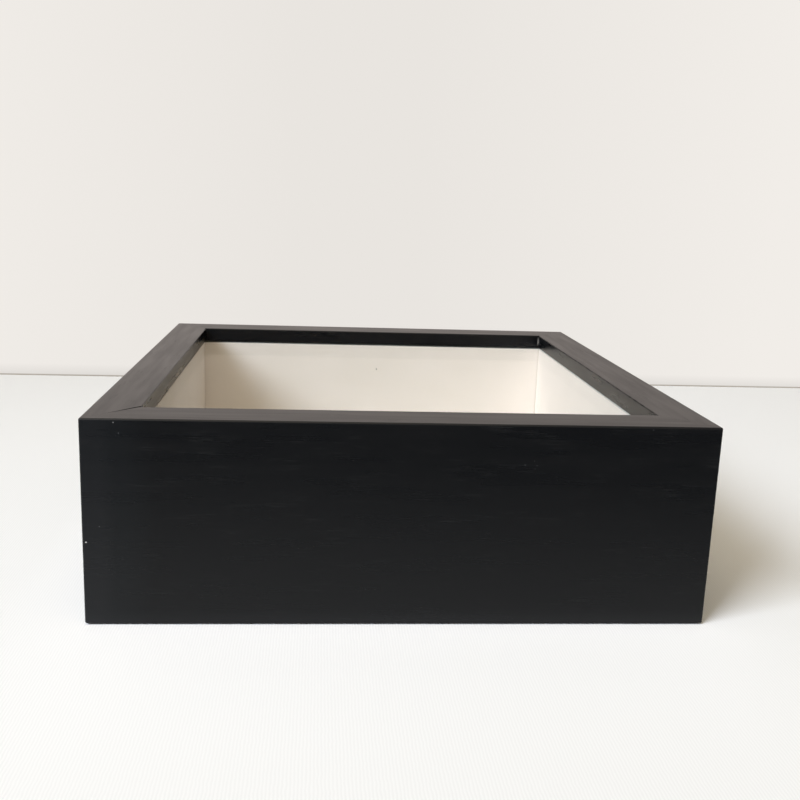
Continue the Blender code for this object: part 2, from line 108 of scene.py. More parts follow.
# %% Turn colours linear and add shader nodes
def linear_colour(hex_colour):
    channels = [int(hex_colour[start : start + 2], 16) / 255 for start in (0, 2, 4)]
    straight = [c / 12.92 if c <= 0.04045 else ((c + 0.055) / 1.055) ** 2.4 for c in channels]
    return (*straight, 1.0)


def set_stops(ramp, stops):
    """Gives a ramp its (position, hex colour) stops."""
    while len(ramp.elements) < len(stops):
        ramp.elements.new(0.5)
    for element, (position, hex_colour) in zip(ramp.elements, stops):
        element.position = position
        element.color = linear_colour(hex_colour)


def add_node(tree, kind, settings):
    """Adds one shader node. A setting is a property, an input by name or number, or a ramp's stops."""
    node = tree.nodes.new("ShaderNode" + kind)
    for name, value in settings.items():
        if name == "Stops":
            set_stops(node.color_ramp, value)
        elif isinstance(name, str) and hasattr(node, name):
            setattr(node, name, value)
        elif isinstance(value, bpy.types.NodeSocket):
            tree.links.new(value, node.inputs[name])
        else:
            node.inputs[name].default_value = value
    return node


def new_material(name):
    """A material with an empty tree. Its last node, the output, is added with the rest."""
    material = bpy.data.materials.new(name)
    material.use_nodes = True
    material.node_tree.nodes.clear()
    return material, material.node_tree


print("Helpers ready, a mid grey is", round(linear_colour("808080")[0], 3))

# %% [markdown]
# ## Making a piece
#
# Every piece ends the same way: its mesh is turned into an object at the origin, shaded smooth apart
# from its true corners and tied to the CAD body that carries it, and the CAD nodes it stands for are hidden.
# The weighted normals keep broad faces flat in the light right up to their rounded edges, as a planed
# board is.


# %% Finish pieces from meshes
SHARP_ANGLE = math.radians(32)
TINY = 0.00001


def make_piece(name, bm, materials, slot, body, *nodes):
    bmesh.ops.recalc_face_normals(bm, faces=bm.faces)
    mesh = bpy.data.meshes.new(name)
    bm.to_mesh(mesh)
    bm.free()
    for material in materials:
        mesh.materials.append(material)
    mesh.shade_smooth()
    mesh.set_sharp_from_angle(angle=SHARP_ANGLE)
    thing = bpy.data.objects.new(name, mesh)
    bpy.context.scene.collection.objects.link(thing)
    even = thing.modifiers.new("Even shading", "WEIGHTED_NORMAL")
    even.keep_sharp = True
    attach(thing, body)
    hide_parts(*nodes)
    return thing


print("Corners sharper than", round(math.degrees(SHARP_ANGLE)), "degrees stay crisp")

# %% [markdown]
# ## Shaping a mesh
#
# The shapes come from a few bmesh operators: loops are filled, profiles are spun, corners are bevelled
# and planes are cut off. These helpers pick the edges for them and give each operator its settings,
# because bmesh's own defaults differ from the editor's.


# %% Pick, round, draw and spin edges
def everything(bm):
    return bm.verts[:] + bm.edges[:] + bm.faces[:]


def edges_where(bm, test):
    """The edges whose two ends both pass a test of their place."""
    return [edge for edge in bm.edges if all(test(end.co) for end in edge.verts)]


def is_upright(edge):
    return (edge.verts[0].co.xy - edge.verts[1].co.xy).length < TINY


def is_square(edge):
    """A closed edge where two faces meet nearly at a right angle."""
    return len(edge.link_faces) == 2 and edge.calc_face_angle() > 1.2


def round_edges(bm, edges, width, segments):
    bmesh.ops.bevel(
        bm,
        geom=edges,
        offset=width,
        offset_type="OFFSET",
        segments=segments,
        profile=0.5,
        affect="EDGES",
        material=-1,
    )


def arc(centre, radius, start, end, steps):
    """Points on an arc, both ends included."""
    turns = [start + (end - start) * step / steps for step in range(steps + 1)]
    return [(centre[0] + radius * math.cos(turn), centre[1] + radius * math.sin(turn)) for turn in turns]


def circle(x, radius, steps):
    """Points on a whole circle whose centre is on the X axis."""
    return arc((x, 0), radius, 0, 2 * math.pi, steps)[:-1]


def loop_of(bm, points, z):
    """A closed loop of edges through flat points at one height."""
    corners = [bm.verts.new((x, y, z)) for x, y in points]
    return [bm.edges.new((corners[i - 1], corners[i])) for i in range(len(corners))]


def spun(profile, segments):
    """A profile of (radius, z) points turned about Z, as on a lathe. It starts and ends on the axis."""
    bm = bmesh.new()
    line = [bm.verts.new((radius, 0, z)) for radius, z in profile]
    edges = [bm.edges.new(pair) for pair in zip(line, line[1:])]
    bmesh.ops.spin(
        bm,
        geom=line + edges,
        cent=(0, 0, 0),
        axis=(0, 0, 1),
        angle=2 * math.pi,
        steps=segments,
        use_merge=True,
    )
    bmesh.ops.remove_doubles(bm, verts=bm.verts, dist=TINY)
    bmesh.ops.recalc_face_normals(bm, faces=bm.faces)
    return bm


print("Shaping helpers ready, points closer than", TINY * 1000, "mm are one")

# %% [markdown]
# ## Camera
#
# The photograph was taken from a little above the table, just left of the middle, with the camera
# leaning by two degrees. Its place and lens were worked out from the frame's own corners, in units of
# the frame's width, so the perspective of the render follows the photograph.

# %% Place the camera
WIDTH = 2 * HALF
CAMERA_X, CAMERA_Y, CAMERA_Z = -0.1427, -1.8600, 0.6811
CAMERA_TURN, CAMERA_TILT, CAMERA_LEAN = math.radians(-4.18), math.radians(78.43), math.radians(1.91)
camera_data = bpy.data.cameras.new("Camera")
camera_data.sensor_width = 36
camera_data.lens = 41.16
camera_data.shift_x = 0.0220
camera_data.shift_y = -0.0264
camera_data.clip_start = 0.01
camera = bpy.data.objects.new("Camera", camera_data)
stand = Matrix.Translation((CAMERA_X * WIDTH, CAMERA_Y * WIDTH, CAMERA_Z * WIDTH + REAR_Z))
tilted = Matrix.Rotation(CAMERA_TURN, 4, "Z") @ Matrix.Rotation(CAMERA_TILT, 4, "X")
camera.matrix_world = stand @ (tilted @ Matrix.Rotation(CAMERA_LEAN, 4, "Z"))
bpy.context.scene.collection.objects.link(camera)
bpy.context.scene.camera = camera
bpy.context.scene.view_settings.view_transform = "Standard"
print("Camera height in mm:", round(camera.matrix_world.translation.z * 1000))

# %% [markdown]
# ## Tablecloth
#
# The box lies on a table under a white ribbed cloth. Here the cloth is a flat plane, and its ribs are
# bands of two whites, a little over a millimetre apart. Its colour also carries painted light: a painted
# shade makes it slightly greyer towards the far left, and a painted light makes it whiter just in front
# of the box, against the shade that the black box casts there. It lies 2.1 mm above the CAD's ground,
# because the real rubber feet sink into the cloth and leave only a thin dark gap under the front edge.


# %% Weave the tablecloth
FLOOR_Z = 0.0021
RIB_SPACING = 0.0010472
WAVE_LENGTH = math.pi / 10


def tablecloth_material(name, hex_painted_shade_far_left, hex_middle, hex_painted_light_front, hex_rib):
    """White ribbed cloth. A wave texture repeats each WAVE_LENGTH metres at a scale of 1."""
    material, tree = new_material(name)
    cloth_place = add_node(tree, "TexCoord", {}).outputs["Object"]
    place = add_node(tree, "SeparateXYZ", {"Vector": cloth_place})
    x, y = place.outputs["X"], place.outputs["Y"]
    # Painted shade: the cloth turns greyer towards the far left.
    slant = add_node(tree, "Math", {"operation": "SUBTRACT", 0: y, 1: x}).outputs[0]
    corner = add_node(tree, "MapRange", {"Value": slant, "From Min": 0.05, "From Max": 0.65}).outputs[0]
    # Painted light: the cloth turns whiter just in front of the box.
    aside = add_node(tree, "Math", {"operation": "ABSOLUTE", 0: x}).outputs[0]
    beside = add_node(tree, "MapRange", {"Value": aside, "From Min": 0.15, "From Max": 0.10}).outputs[0]
    before = add_node(tree, "MapRange", {"Value": y, "From Min": -0.21, "From Max": -0.12}).outputs[0]
    front = add_node(tree, "Math", {"operation": "MULTIPLY", 0: beside, 1: before}).outputs[0]

    wave = {"bands_direction": "X", "Scale": WAVE_LENGTH / RIB_SPACING, "Distortion": 2.0, "Detail": 1.0}
    bands = add_node(tree, "TexWave", {"Vector": cloth_place, **wave}).outputs["Fac"]
    ribs = {"Fac": bands, "Stops": [(0.2, hex_rib), (0.8, "FFFFFF")]}
    ribs = add_node(tree, "ValToRGB", ribs).outputs["Color"]

    middle, far_left = linear_colour(hex_middle), linear_colour(hex_painted_shade_far_left)
    colour = add_node(tree, "MixRGB", {"Fac": corner, "Color1": middle, "Color2": far_left}).outputs["Color"]
    whiter = {"Fac": front, "Color1": colour, "Color2": linear_colour(hex_painted_light_front)}
    colour = add_node(tree, "MixRGB", whiter).outputs["Color"]
    ribbed = {"blend_type": "MULTIPLY", "Fac": 1.0, "Color1": colour, "Color2": ribs}
    colour = add_node(tree, "MixRGB", ribbed).outputs["Color"]
    woven = {"Base Color": colour, "Roughness": 0.9, "Specular IOR Level": 0.2}
    shader = add_node(tree, "BsdfPrincipled", woven)
    add_node(tree, "OutputMaterial", {"Surface": shader.outputs["BSDF"]})
    return material


floor_white = tablecloth_material("white_tablecloth", "E7E6E3", "F7F7F6", "FFFFFF", "FAFAFA")
print("Cloth ribs stand", round(RIB_SPACING * 1000, 2), "mm apart")

# %% [markdown]
# ## Wall
#
# A white wall closes the view. It has to show as one pale colour, but a wall that simply glowed would
# also light the cloth and the back of the box. So its material asks what kind of ray arrives: rays that
# show a background see the colour, and all others meet plain paint that passes on less light. The colour
# it shows carries painted light: a painted shade darkens its foot and leaves it a little darker in the
# middle than at the sides, and as a painted reflection it mirrors warmer in the satin paint of the rails,
# and darker on the right.


# %% Paint the wall
PAINTED_SHADE_FOOT_HEIGHT = 0.010


def seen_rays(tree):
    """1 for rays that show a background: the camera's own, and those by a mirror or through glass."""
    rays = add_node(tree, "LightPath", {}).outputs
    seen = {"operation": "MAXIMUM", 0: rays["Is Camera Ray"], 1: rays["Is Glossy Ray"]}
    seen = add_node(tree, "Math", seen).outputs[0]
    through = rays["Is Transmission Ray"]
    return add_node(tree, "Math", {"operation": "MAXIMUM", 0: seen, 1: through}).outputs[0]


def mirrored_or_straight(tree, colour, mirrored_colour):
    """The colour of a backdrop, which may be another in a mirror than straight on."""
    mirrored = add_node(tree, "LightPath", {}).outputs["Is Glossy Ray"]
    mixed = add_node(tree, "MixRGB", {"Fac": mirrored, "Color1": colour, "Color2": mirrored_colour})
    return mixed.outputs["Color"]


def wall_material(name, hex_middle, hex_sides, hex_painted_foot_shade, hex_painted_reflection, hex_painted_reflection_right, hex_bounce):
    material, tree = new_material(name)
    place = add_node(tree, "SeparateXYZ", {"Vector": add_node(tree, "TexCoord", {}).outputs["Object"]})
    x, z = place.outputs["X"], place.outputs["Z"]
    # Painted shade: a little darker in the middle than at the sides.
    sideways = add_node(tree, "Math", {"operation": "ABSOLUTE", 0: x}).outputs[0]
    spread = add_node(tree, "MapRange", {"Value": sideways, "From Min": 0.05, "From Max": 0.35}).outputs[0]
    pale = {"Fac": spread, "Color1": linear_colour(hex_middle), "Color2": linear_colour(hex_sides)}
    pale = add_node(tree, "MixRGB", pale).outputs["Color"]
    # Painted shade darkens the wall's foot.
    above_floor = {"Value": z, "From Min": FLOOR_Z, "From Max": FLOOR_Z + PAINTED_SHADE_FOOT_HEIGHT}
    above_floor = add_node(tree, "MapRange", above_floor).outputs[0]
    shade = [(0.06, hex_painted_foot_shade), (0.14, "F0F0F0"), (1.0, "FFFFFF")]
    foot = add_node(tree, "ValToRGB", {"Fac": above_floor, "Stops": shade}).outputs["Color"]
    shaded = {"blend_type": "MULTIPLY", "Fac": 1.0, "Color1": pale, "Color2": foot}
    colour = add_node(tree, "MixRGB", shaded).outputs["Color"]

    # Painted reflection: the colour that mirror rays see, warmer, and darker on the right.
    across = add_node(tree, "MapRange", {"Value": x, "From Min": -0.25, "From Max": 0.25}).outputs[0]
    sides = [(0.0, hex_painted_reflection), (1.0, hex_painted_reflection_right)]
    mirrored = add_node(tree, "ValToRGB", {"Fac": across, "Stops": sides}).outputs["Color"]
    colour = mirrored_or_straight(tree, colour, mirrored)
    shown = add_node(tree, "Emission", {"Color": colour, "Strength": 1.0})
    bounce = add_node(tree, "BsdfDiffuse", {"Color": linear_colour(hex_bounce)})
    mixed = {0: seen_rays(tree), 1: bounce.outputs[0], 2: shown.outputs[0]}
    mixed = add_node(tree, "MixShader", mixed)
    add_node(tree, "OutputMaterial", {"Surface": mixed.outputs[0]})
    return material


wall_white = wall_material("white_wall", "E9E5E0", "F1EDE8", "B4AEA6", "FBEFE7", "E6DAD2", "908C87")
print("Wall paint mixed")

# %% Lay the floor and stand the wall
FLOOR_REACH = 3
WALL_LEFT = Vector((-0.2938, 0.3245, FLOOR_Z))
WALL_RIGHT = Vector((0.3986, 0.3291, FLOOR_Z))
WALL_WIDER, WALL_HEIGHT = 1.6, 1.3


def stage_plane(name, corners, material):
    bm = bmesh.new()
    bmesh.ops.contextual_create(bm, geom=[bm.verts.new(corner) for corner in corners])
    mesh = bpy.data.meshes.new(name)
    bm.to_mesh(mesh)
    bm.free()
    mesh.materials.append(material)
    plane = bpy.data.objects.new(name, mesh)
    bpy.context.scene.collection.objects.link(plane)
    plane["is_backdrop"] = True
    return plane


def level_corners(low_x, low_y, high_x, high_y, z):
    return [(low_x, low_y, z), (high_x, low_y, z), (high_x, high_y, z), (low_x, high_y, z)]


wider = (WALL_RIGHT - WALL_LEFT).normalized() * WALL_WIDER
up = Vector((0, 0, WALL_HEIGHT))
foot = [WALL_LEFT - wider, WALL_RIGHT + wider]
floor_corners = level_corners(-FLOOR_REACH, -FLOOR_REACH, FLOOR_REACH, FLOOR_REACH, FLOOR_Z)
stage_plane("Floor", floor_corners, floor_white)
stage_plane("Wall", [foot[0], foot[1], foot[1] + up, foot[0] + up], wall_white)
print("Wall stands", round((WALL_LEFT.y - HALF) * 1000), "mm behind the object")

# %% [markdown]
# ## Window and room
#
# One large window at the left, in front of the object, gives a cool, soft key light and the soft shadow
# on the right. The rest of the room sends weaker, warmer light: a broad lamp high up and the world's
# fill stand for it. As a backdrop the world is as pale as the wall, and dimmer overhead where the paint
# mirrors it, because a ceiling is darker than a wall that faces the window.


# %% Hang the window light and the room light
WINDOW = (0.82, 0.89, 1.00)
ROOM = (1.00, 0.88, 0.68)


def direction(azimuth, height):
    """A direction from the object: degrees round from the front to the right, and above the horizon."""
    around, above = math.radians(azimuth), math.radians(height)
    return Vector((math.sin(around) * math.cos(above), -math.cos(around) * math.cos(above), math.sin(above)))


def hang_light(name, azimuth, height, distance, size, strength, colour):
    """A lamp facing the object, its size in distances. The strength is what a white card would show."""
    data = bpy.data.lights.new(name, "AREA")
    data.shape = "RECTANGLE"
    data.size, data.size_y = size[0] * distance, size[1] * distance
    data.energy = strength * math.pi**2 * distance**2
    data.color = colour
    lamp = bpy.data.objects.new(name, data)
    towards = direction(azimuth, height)
    lamp.location = towards * distance
    lamp.rotation_euler = towards.to_track_quat("Z", "Y").to_euler()
    bpy.context.scene.collection.objects.link(lamp)


hang_light("Window", azimuth=-53, height=38, distance=5.0, size=(0.50, 0.38), strength=1.07, colour=WINDOW)
hang_light("Room", azimuth=-20, height=68, distance=4.0, size=(0.8, 0.8), strength=0.42, colour=ROOM)
print("Lamps:", sorted(light.name for light in bpy.data.lights))

# %% Fill the room with its own light
FILL = 0.14
world = bpy.data.worlds.new("Room")
bpy.context.scene.world = world
world.use_nodes = True
room = world.node_tree
room.nodes.clear()
fill = add_node(room, "Background", {"Color": (*ROOM, 1.0), "Strength": FILL})
sky_place = add_node(room, "TexCoord", {}).outputs["Generated"]
overhead = add_node(room, "SeparateXYZ", {"Vector": sky_place}).outputs["Z"]
dimmed = {"Value": overhead, "From Min": 0.4, "From Max": 0.8, "To Max": 0.8}
dimmed = add_node(room, "MapRange", dimmed).outputs[0]
glossy = add_node(room, "LightPath", {}).outputs["Is Glossy Ray"]
mirrored = add_node(room, "Math", {"operation": "MULTIPLY", 0: dimmed, 1: glossy}).outputs[0]
shine = add_node(room, "Math", {"operation": "SUBTRACT", 0: 1.0, 1: mirrored}).outputs[0]
backdrop_colour = mirrored_or_straight(room, linear_colour("ECE8E4"), linear_colour("ECE0D6"))
backdrop = add_node(room, "Background", {"Color": backdrop_colour, "Strength": shine})
sky = add_node(room, "MixShader", {0: seen_rays(room), 1: fill.outputs[0], 2: backdrop.outputs[0]})
add_node(room, "OutputWorld", {"Surface": sky.outputs[0]})
print("Fill strength", FILL)

# %% [markdown]
# ## A card for the mirrored floor
#
# The satin front of the box mirrors what lies before it. On the real one this is bright near the foot
# and darker higher up, so the table's brightness falls off towards the room. A card just above the
# cloth, which only mirrored rays and rays through glass can meet, does the same: it darkens away from
# the box, on the right sooner than on the left. It lights nothing and casts no shadow.


# %% Lay the card
CARD_LIFT = 0.001
CARD_DARKENS = (0.12, 0.33)
CARD_SLANT = 0.15


def darkening_card(name, hex_near, hex_far):
    material, tree = new_material(name)
    place = add_node(tree, "SeparateXYZ", {"Vector": add_node(tree, "TexCoord", {}).outputs["Object"]})
    x, y = place.outputs["X"], place.outputs["Y"]
    slant = add_node(tree, "Math", {"operation": "MULTIPLY", 0: x, 1: CARD_SLANT}).outputs[0]
    away = add_node(tree, "Math", {"operation": "SUBTRACT", 0: slant, 1: y}).outputs[0]
    reach = {"Value": away, "From Min": CARD_DARKENS[0], "From Max": CARD_DARKENS[1]}
    reach = add_node(tree, "MapRange", reach).outputs[0]
    colour = add_node(tree, "ValToRGB", {"Fac": reach, "Stops": [(0.0, hex_near), (1.0, hex_far)]})
    shader = add_node(tree, "BsdfDiffuse", {"Color": colour.outputs["Color"]})
    add_node(tree, "OutputMaterial", {"Surface": shader.outputs[0]})
    return material


card_corners = level_corners(-0.8, -1.2, 0.8, -0.12, FLOOR_Z + CARD_LIFT)
card = stage_plane("Card", card_corners, darkening_card("darkening_card", "E6E5E3", "464646"))
card.visible_camera = card.visible_shadow = card.visible_diffuse = False
print("Card lies", round(card_corners[0][2] * 1000, 1), "mm above the CAD's ground")

# %% [markdown]
# ## Black painted wood
#
# The rails are an open-grained wood under a thin satin black paint, so the pores still show as short
# fine lines along each rail. Straight on the paint is nearly black, and it turns grey where it is seen
# at a low angle, because any smooth paint mirrors its surroundings there. Here the shader's own Fresnel
# does that. The grain is made of noises stretched along the rail: pores about 9 mm long and half a
# millimetre apart, which dent the paint and leave it duller, a slower drift in how deep they are, and
# the faint waviness that sanding leaves. On the lips' inner sides the paint has nearly filled the pores.


# %% Mix the paint
PORES_PER_METRE = (110, 2100, 2100)
DRIFT_PER_METRE = (50, 150, 150)
SANDING_PER_METRE = (22, 240, 240)
NEXT_BOARD = 0.7


def painted_wood(name, quarter_turns, marks_and_painted_light, rubbed):
    """Paint on a rail that is turned from the bottom one by quarter turns. A rubbed one has a dull edge."""
    material, tree = new_material(name)
    place = add_node(tree, "TexCoord", {}).outputs["Object"]
    turned = {"Vector": place, "Rotation": (0, 0, -quarter_turns * math.pi / 2)}
    turned["Location"] = (quarter_turns * NEXT_BOARD, 0, 0)
    laid = add_node(tree, "Mapping", turned).outputs["Vector"]
    noises = []
    for per_metre, look in (
        (PORES_PER_METRE, {"Detail": 3.0, "Roughness": 0.6}),
        (DRIFT_PER_METRE, {"Detail": 2.0}),
        (SANDING_PER_METRE, {"Detail": 3.0}),
    ):
        stretched = add_node(tree, "Mapping", {"Vector": laid, "Scale": per_metre}).outputs["Vector"]
        noise = add_node(tree, "TexNoise", {"Vector": stretched, "Scale": 1.0, **look})
        noises.append(noise.outputs["Fac"])
    pores, drift, sanding = noises
    grain = pore_depth(tree, laid, pores, drift)

    black = {"Fac": grain, "Stops": [(0.0, "0A0C0F"), (1.0, "131517")]}
    colour = add_node(tree, "ValToRGB", black).outputs["Color"]
    colour = add_marks_and_painted_light(tree, place, colour, marks_and_painted_light)
    shine = rubbed_edge(tree, place) if rubbed else 0.5
    dent = {"Height": grain, "Strength": 0.5, "Distance": 0.00005, "invert": True}
    dent = add_node(tree, "Bump", dent).outputs["Normal"]
    wave = {"Height": sanding, "Strength": 0.3, "Distance": 0.00010, "Normal": dent}
    wave = add_node(tree, "Bump", wave).outputs["Normal"]
    satin = {"Base Color": colour, "Roughness": satin_roughness(tree, grain, sanding), "IOR": 1.35}
    satin |= {"Specular IOR Level": shine, "Normal": wave}
    shader = add_node(tree, "BsdfPrincipled", satin)
    add_node(tree, "OutputMaterial", {"Surface": shader.outputs["BSDF"]})
    return material


def pore_depth(tree, laid, pores, drift):
    """1 in the deepest pores and 0 between them, and fainter on the lip's inner side."""
    deep = add_node(tree, "MapRange", {"Value": pores, "From Min": 0.54, "From Max": 0.72}).outputs[0]
    where = {"Value": drift, "From Min": 0.48, "From Max": 0.64, "To Min": 0.05}
    where = add_node(tree, "MapRange", where).outputs[0]
    grain = add_node(tree, "Math", {"operation": "MULTIPLY", 0: deep, 1: where}).outputs[0]
    across = add_node(tree, "SeparateXYZ", {"Vector": laid}).outputs["Y"]
    outside = {"Value": across, "From Min": -SIGHT_HALF, "From Max": -SIGHT_HALF - 0.0010, "To Min": 0.15}
    outside = add_node(tree, "MapRange", outside).outputs[0]
    return add_node(tree, "Math", {"operation": "MULTIPLY", 0: grain, 1: outside}).outputs[0]


def satin_roughness(tree, grain, sanding):
    """Satin, a little duller on faces that look up, where dust settles, and in the pores."""
    rough = {"Value": sanding, "From Min": 0.35, "From Max": 0.65, "To Min": 0.26, "To Max": 0.32}
    rough = add_node(tree, "MapRange", rough).outputs[0]
    normal = add_node(tree, "NewGeometry", {}).outputs["Normal"]
    upwards = add_node(tree, "SeparateXYZ", {"Vector": normal}).outputs["Z"]
    dusty = {"operation": "MULTIPLY_ADD", "use_clamp": True, 0: upwards, 1: 0.065, 2: rough}
    rough = add_node(tree, "Math", dusty).outputs[0]
    return add_node(tree, "Math", {"operation": "MULTIPLY_ADD", 0: grain, 1: 0.10, 2: rough}).outputs[0]


print("Pores are", round(1000 / PORES_PER_METRE[0]), "mm long")

# %% [markdown]
# ## Wear in the paint, and a painted sheen
#
# A used frame has been knocked and rubbed. Its front has a few tiny chips where pale primer or wood
# shows and one small scuff, and a painted sheen makes its left end a little greyer. The right rail's inner
# top edge has lost its gloss in a slightly ragged line, and a thin pale mark runs down the mitre at its
# far end. Each mark, the painted sheen too, is a place, a size and a colour, so the same few nodes draw
# them all.


# %% Chip and rub the paint, and lay its painted sheen
CHIP_DEPTH = 0.0005
RUBBED_WIDTH, RUBBED_RAGGED = 0.00055, 0.0008


def rubbed_edge(tree, place):
    """The specular level of a rail whose inner top edge was rubbed dull."""
    shifted = {"operation": "SUBTRACT", 0: place, 1: (SIGHT_HALF, 0, TOP_Z)}
    shifted = add_node(tree, "VectorMath", shifted).outputs[0]
    flat = add_node(tree, "VectorMath", {"operation": "MULTIPLY", 0: shifted, 1: (1, 0, 1)}).outputs[0]
    away = add_node(tree, "VectorMath", {"operation": "LENGTH", 0: flat}).outputs["Value"]
    ragged = add_node(tree, "TexNoise", {"Vector": place, "Scale": 260.0, "Detail": 1.0}).outputs["Fac"]
    edge = {"operation": "MULTIPLY_ADD", 0: ragged, 1: RUBBED_RAGGED, 2: away}
    edge = add_node(tree, "Math", edge).outputs[0]
    dull = {"From Min": RUBBED_WIDTH, "From Max": RUBBED_WIDTH + 0.0003, "To Min": 0.1, "To Max": 0.5}
    return add_node(tree, "MapRange", {"Value": edge, **dull}).outputs[0]


def add_marks_and_painted_light(tree, place, colour, marks_and_painted_light):
    """Lays small round marks over a colour, each a place, a size and a colour of its own."""
    for centre, size, hex_colour in marks_and_painted_light:
        shifted = add_node(tree, "VectorMath", {"operation": "SUBTRACT", 0: place, 1: centre}).outputs[0]
        shares = add_node(tree, "VectorMath", {"operation": "DIVIDE", 0: shifted, 1: size}).outputs[0]
        away = add_node(tree, "VectorMath", {"operation": "LENGTH", 0: shares}).outputs["Value"]
        inside = add_node(tree, "MapRange", {"Value": away, "From Min": 1.0, "From Max": 0.6}).outputs[0]
        mark = {"Fac": inside, "Color1": colour, "Color2": linear_colour(hex_colour)}
        colour = add_node(tree, "MixRGB", mark).outputs["Color"]
    return colour


def front_mark(x, z, width, depth, height, hex_colour):
    return (x, -HALF, z), (width, depth, height), hex_colour


# Painted sheen: two broad marks of a lighter black over the left end of the front.
PAINTED_SHEEN_LEFT_END = [
    front_mark(-HALF, 0.042, 0.026, 0.002, 0.100, "101316"),
    front_mark(-HALF, 0.042, 0.012, 0.002, 0.100, "16181B"),
]
CHIPS = [
    front_mark(-0.1022, 0.0774, 0.0002, CHIP_DEPTH, 0.0003, "7C7C7A"),
    front_mark(-0.1005, 0.0736, 0.0002, CHIP_DEPTH, 0.0004, "48494B"),
    front_mark(-0.1079, 0.0395, 0.0002, CHIP_DEPTH, 0.0002, "5C5D5F"),
    front_mark(-0.1127, 0.0336, 0.0004, CHIP_DEPTH, 0.0003, "B9B9B7"),
    front_mark(0.0882, 0.0775, 0.0003, CHIP_DEPTH, 0.0002, "4A4B4D"),
]
SCUFF = [
    front_mark(0.0424, 0.0639, 0.0004, CHIP_DEPTH, 0.0003, "38393B"),
    front_mark(0.0457, 0.0654, 0.0002, CHIP_DEPTH, 0.0003, "303133"),
    front_mark(0.0467, 0.0637, 0.0004, CHIP_DEPTH, 0.0002, "303133"),
    front_mark(0.0461, 0.0625, 0.0003, CHIP_DEPTH, 0.0002, "303133"),
]
# A thin pale mark down the mitre where the top and right rails meet at the lip.
JOINT_MARK_Z, JOINT_MARK_THIN, JOINT_MARK_WIDE, JOINT_MARK_TALL = 0.0752, 0.0003, 0.0008, 0.0028
pale_joint_mark_top = ((SIGHT_HALF - JOINT_MARK_THIN, SIGHT_HALF, JOINT_MARK_Z), (JOINT_MARK_THIN, JOINT_MARK_WIDE, JOINT_MARK_TALL), "8C8A86")
pale_joint_mark_right = ((SIGHT_HALF, SIGHT_HALF - JOINT_MARK_THIN, JOINT_MARK_Z), (JOINT_MARK_WIDE, JOINT_MARK_THIN, JOINT_MARK_TALL), "8C8A86")
MARKS_AND_PAINTED_SHEEN = {"bottom": PAINTED_SHEEN_LEFT_END + CHIPS + SCUFF, "right": [pale_joint_mark_right], "top": [pale_joint_mark_top], "left": []}
RAIL_TURNS = {"bottom": 0, "right": 1, "top": 2, "left": 3}
paints = {}
for side, turns in RAIL_TURNS.items():
    paints[side] = painted_wood("black_painted_wood_" + side, turns, MARKS_AND_PAINTED_SHEEN[side], rubbed=side == "right")
print("Paint mixed for", len(paints), "rails, with", len(MARKS_AND_PAINTED_SHEEN["bottom"]), "marks on the front")

# %% [markdown]
# ## Rails
#
# A framer saws four mitred lengths, glues and nails them into a ring, sands the ring's edges as one
# and paints it. The model follows that order. One square ring is made with the rail's L section, its
# edges are rounded together, so the rounding runs round each corner without a step, and only then is it
# sawn into four rails along the mitres. All four joints are shut but one: at the front left the joint
# has opened on its inner part, so a second, slightly turned saw cut starts 7 mm in from the corner.


# %% Shape the ring
def square(inset):
    half = HALF - inset
    return [(-half, -half), (half, -half), (half, half), (-half, half)]


def on_line(inset, height):
    """A test for points at one inset from the outer face and one height."""
    return lambda co: abs(HALF - max(abs(co.x), abs(co.y)) - inset) < TINY and abs(co.z - height) < TINY


def at_outer_corner(co):
    return min(abs(co.x), abs(co.y)) > HALF - TINY


def on_rear(co):
    return abs(co.z - REAR_Z) < TINY


def make_ring():
    section = [(0, REAR_Z), (0, TOP_Z), (FACE, TOP_Z), (FACE, LIP_Z), (WALL, LIP_Z), (WALL, REAR_Z)]
    bm = bmesh.new()
    loops = [[bm.verts.new((x, y, z)) for x, y in square(inset)] for inset, z in section]
    for before, loop in zip(loops[-1:] + loops, loops):
        for k in range(4):
            bm.faces.new((before[k - 1], before[k], loop[k], loop[k - 1]))
    bmesh.ops.recalc_face_normals(bm, faces=bm.faces)
    upright = [edge for edge in edges_where(bm, at_outer_corner) if is_upright(edge)]
    outer = edges_where(bm, on_line(0, TOP_Z)) + upright
    round_edges(bm, outer, OUTER_ROUND, segments=5)
    round_edges(bm, edges_where(bm, on_line(FACE, TOP_Z)), SIGHT_ROUND, segments=3)
    round_edges(bm, edges_where(bm, on_line(FACE, LIP_Z)), LIP_ROUND, segments=2)
    rear = [edge for edge in edges_where(bm, on_rear) if is_square(edge)]
    round_edges(bm, rear, REAR_ROUND, segments=2)
    return bm


ring = make_ring()
print("Ring shaped with", len(ring.faces), "faces")

# %% Saw the ring into rails
SHUT_GAP = 0.00001
OPEN_MITRE = math.radians(3.8)
OPEN_FROM = 0.0070


def saw(bm, corner, normal):
    """Cuts the ring at one mitre and closes the cut. What lies on the normal's side is thrown away."""
    cut = bmesh.ops.bisect_plane(
        bm,
        geom=everything(bm),
        plane_co=corner - normal * SHUT_GAP,
        plane_no=normal,
        clear_outer=True,
    )
    rim = [part for part in cut["geom_cut"] if isinstance(part, bmesh.types.BMEdge)]
    near = [edge for edge in rim if (edge.verts[0].co.xy - corner.xy).length < HALF]
    bmesh.ops.contextual_create(bm, geom=near)


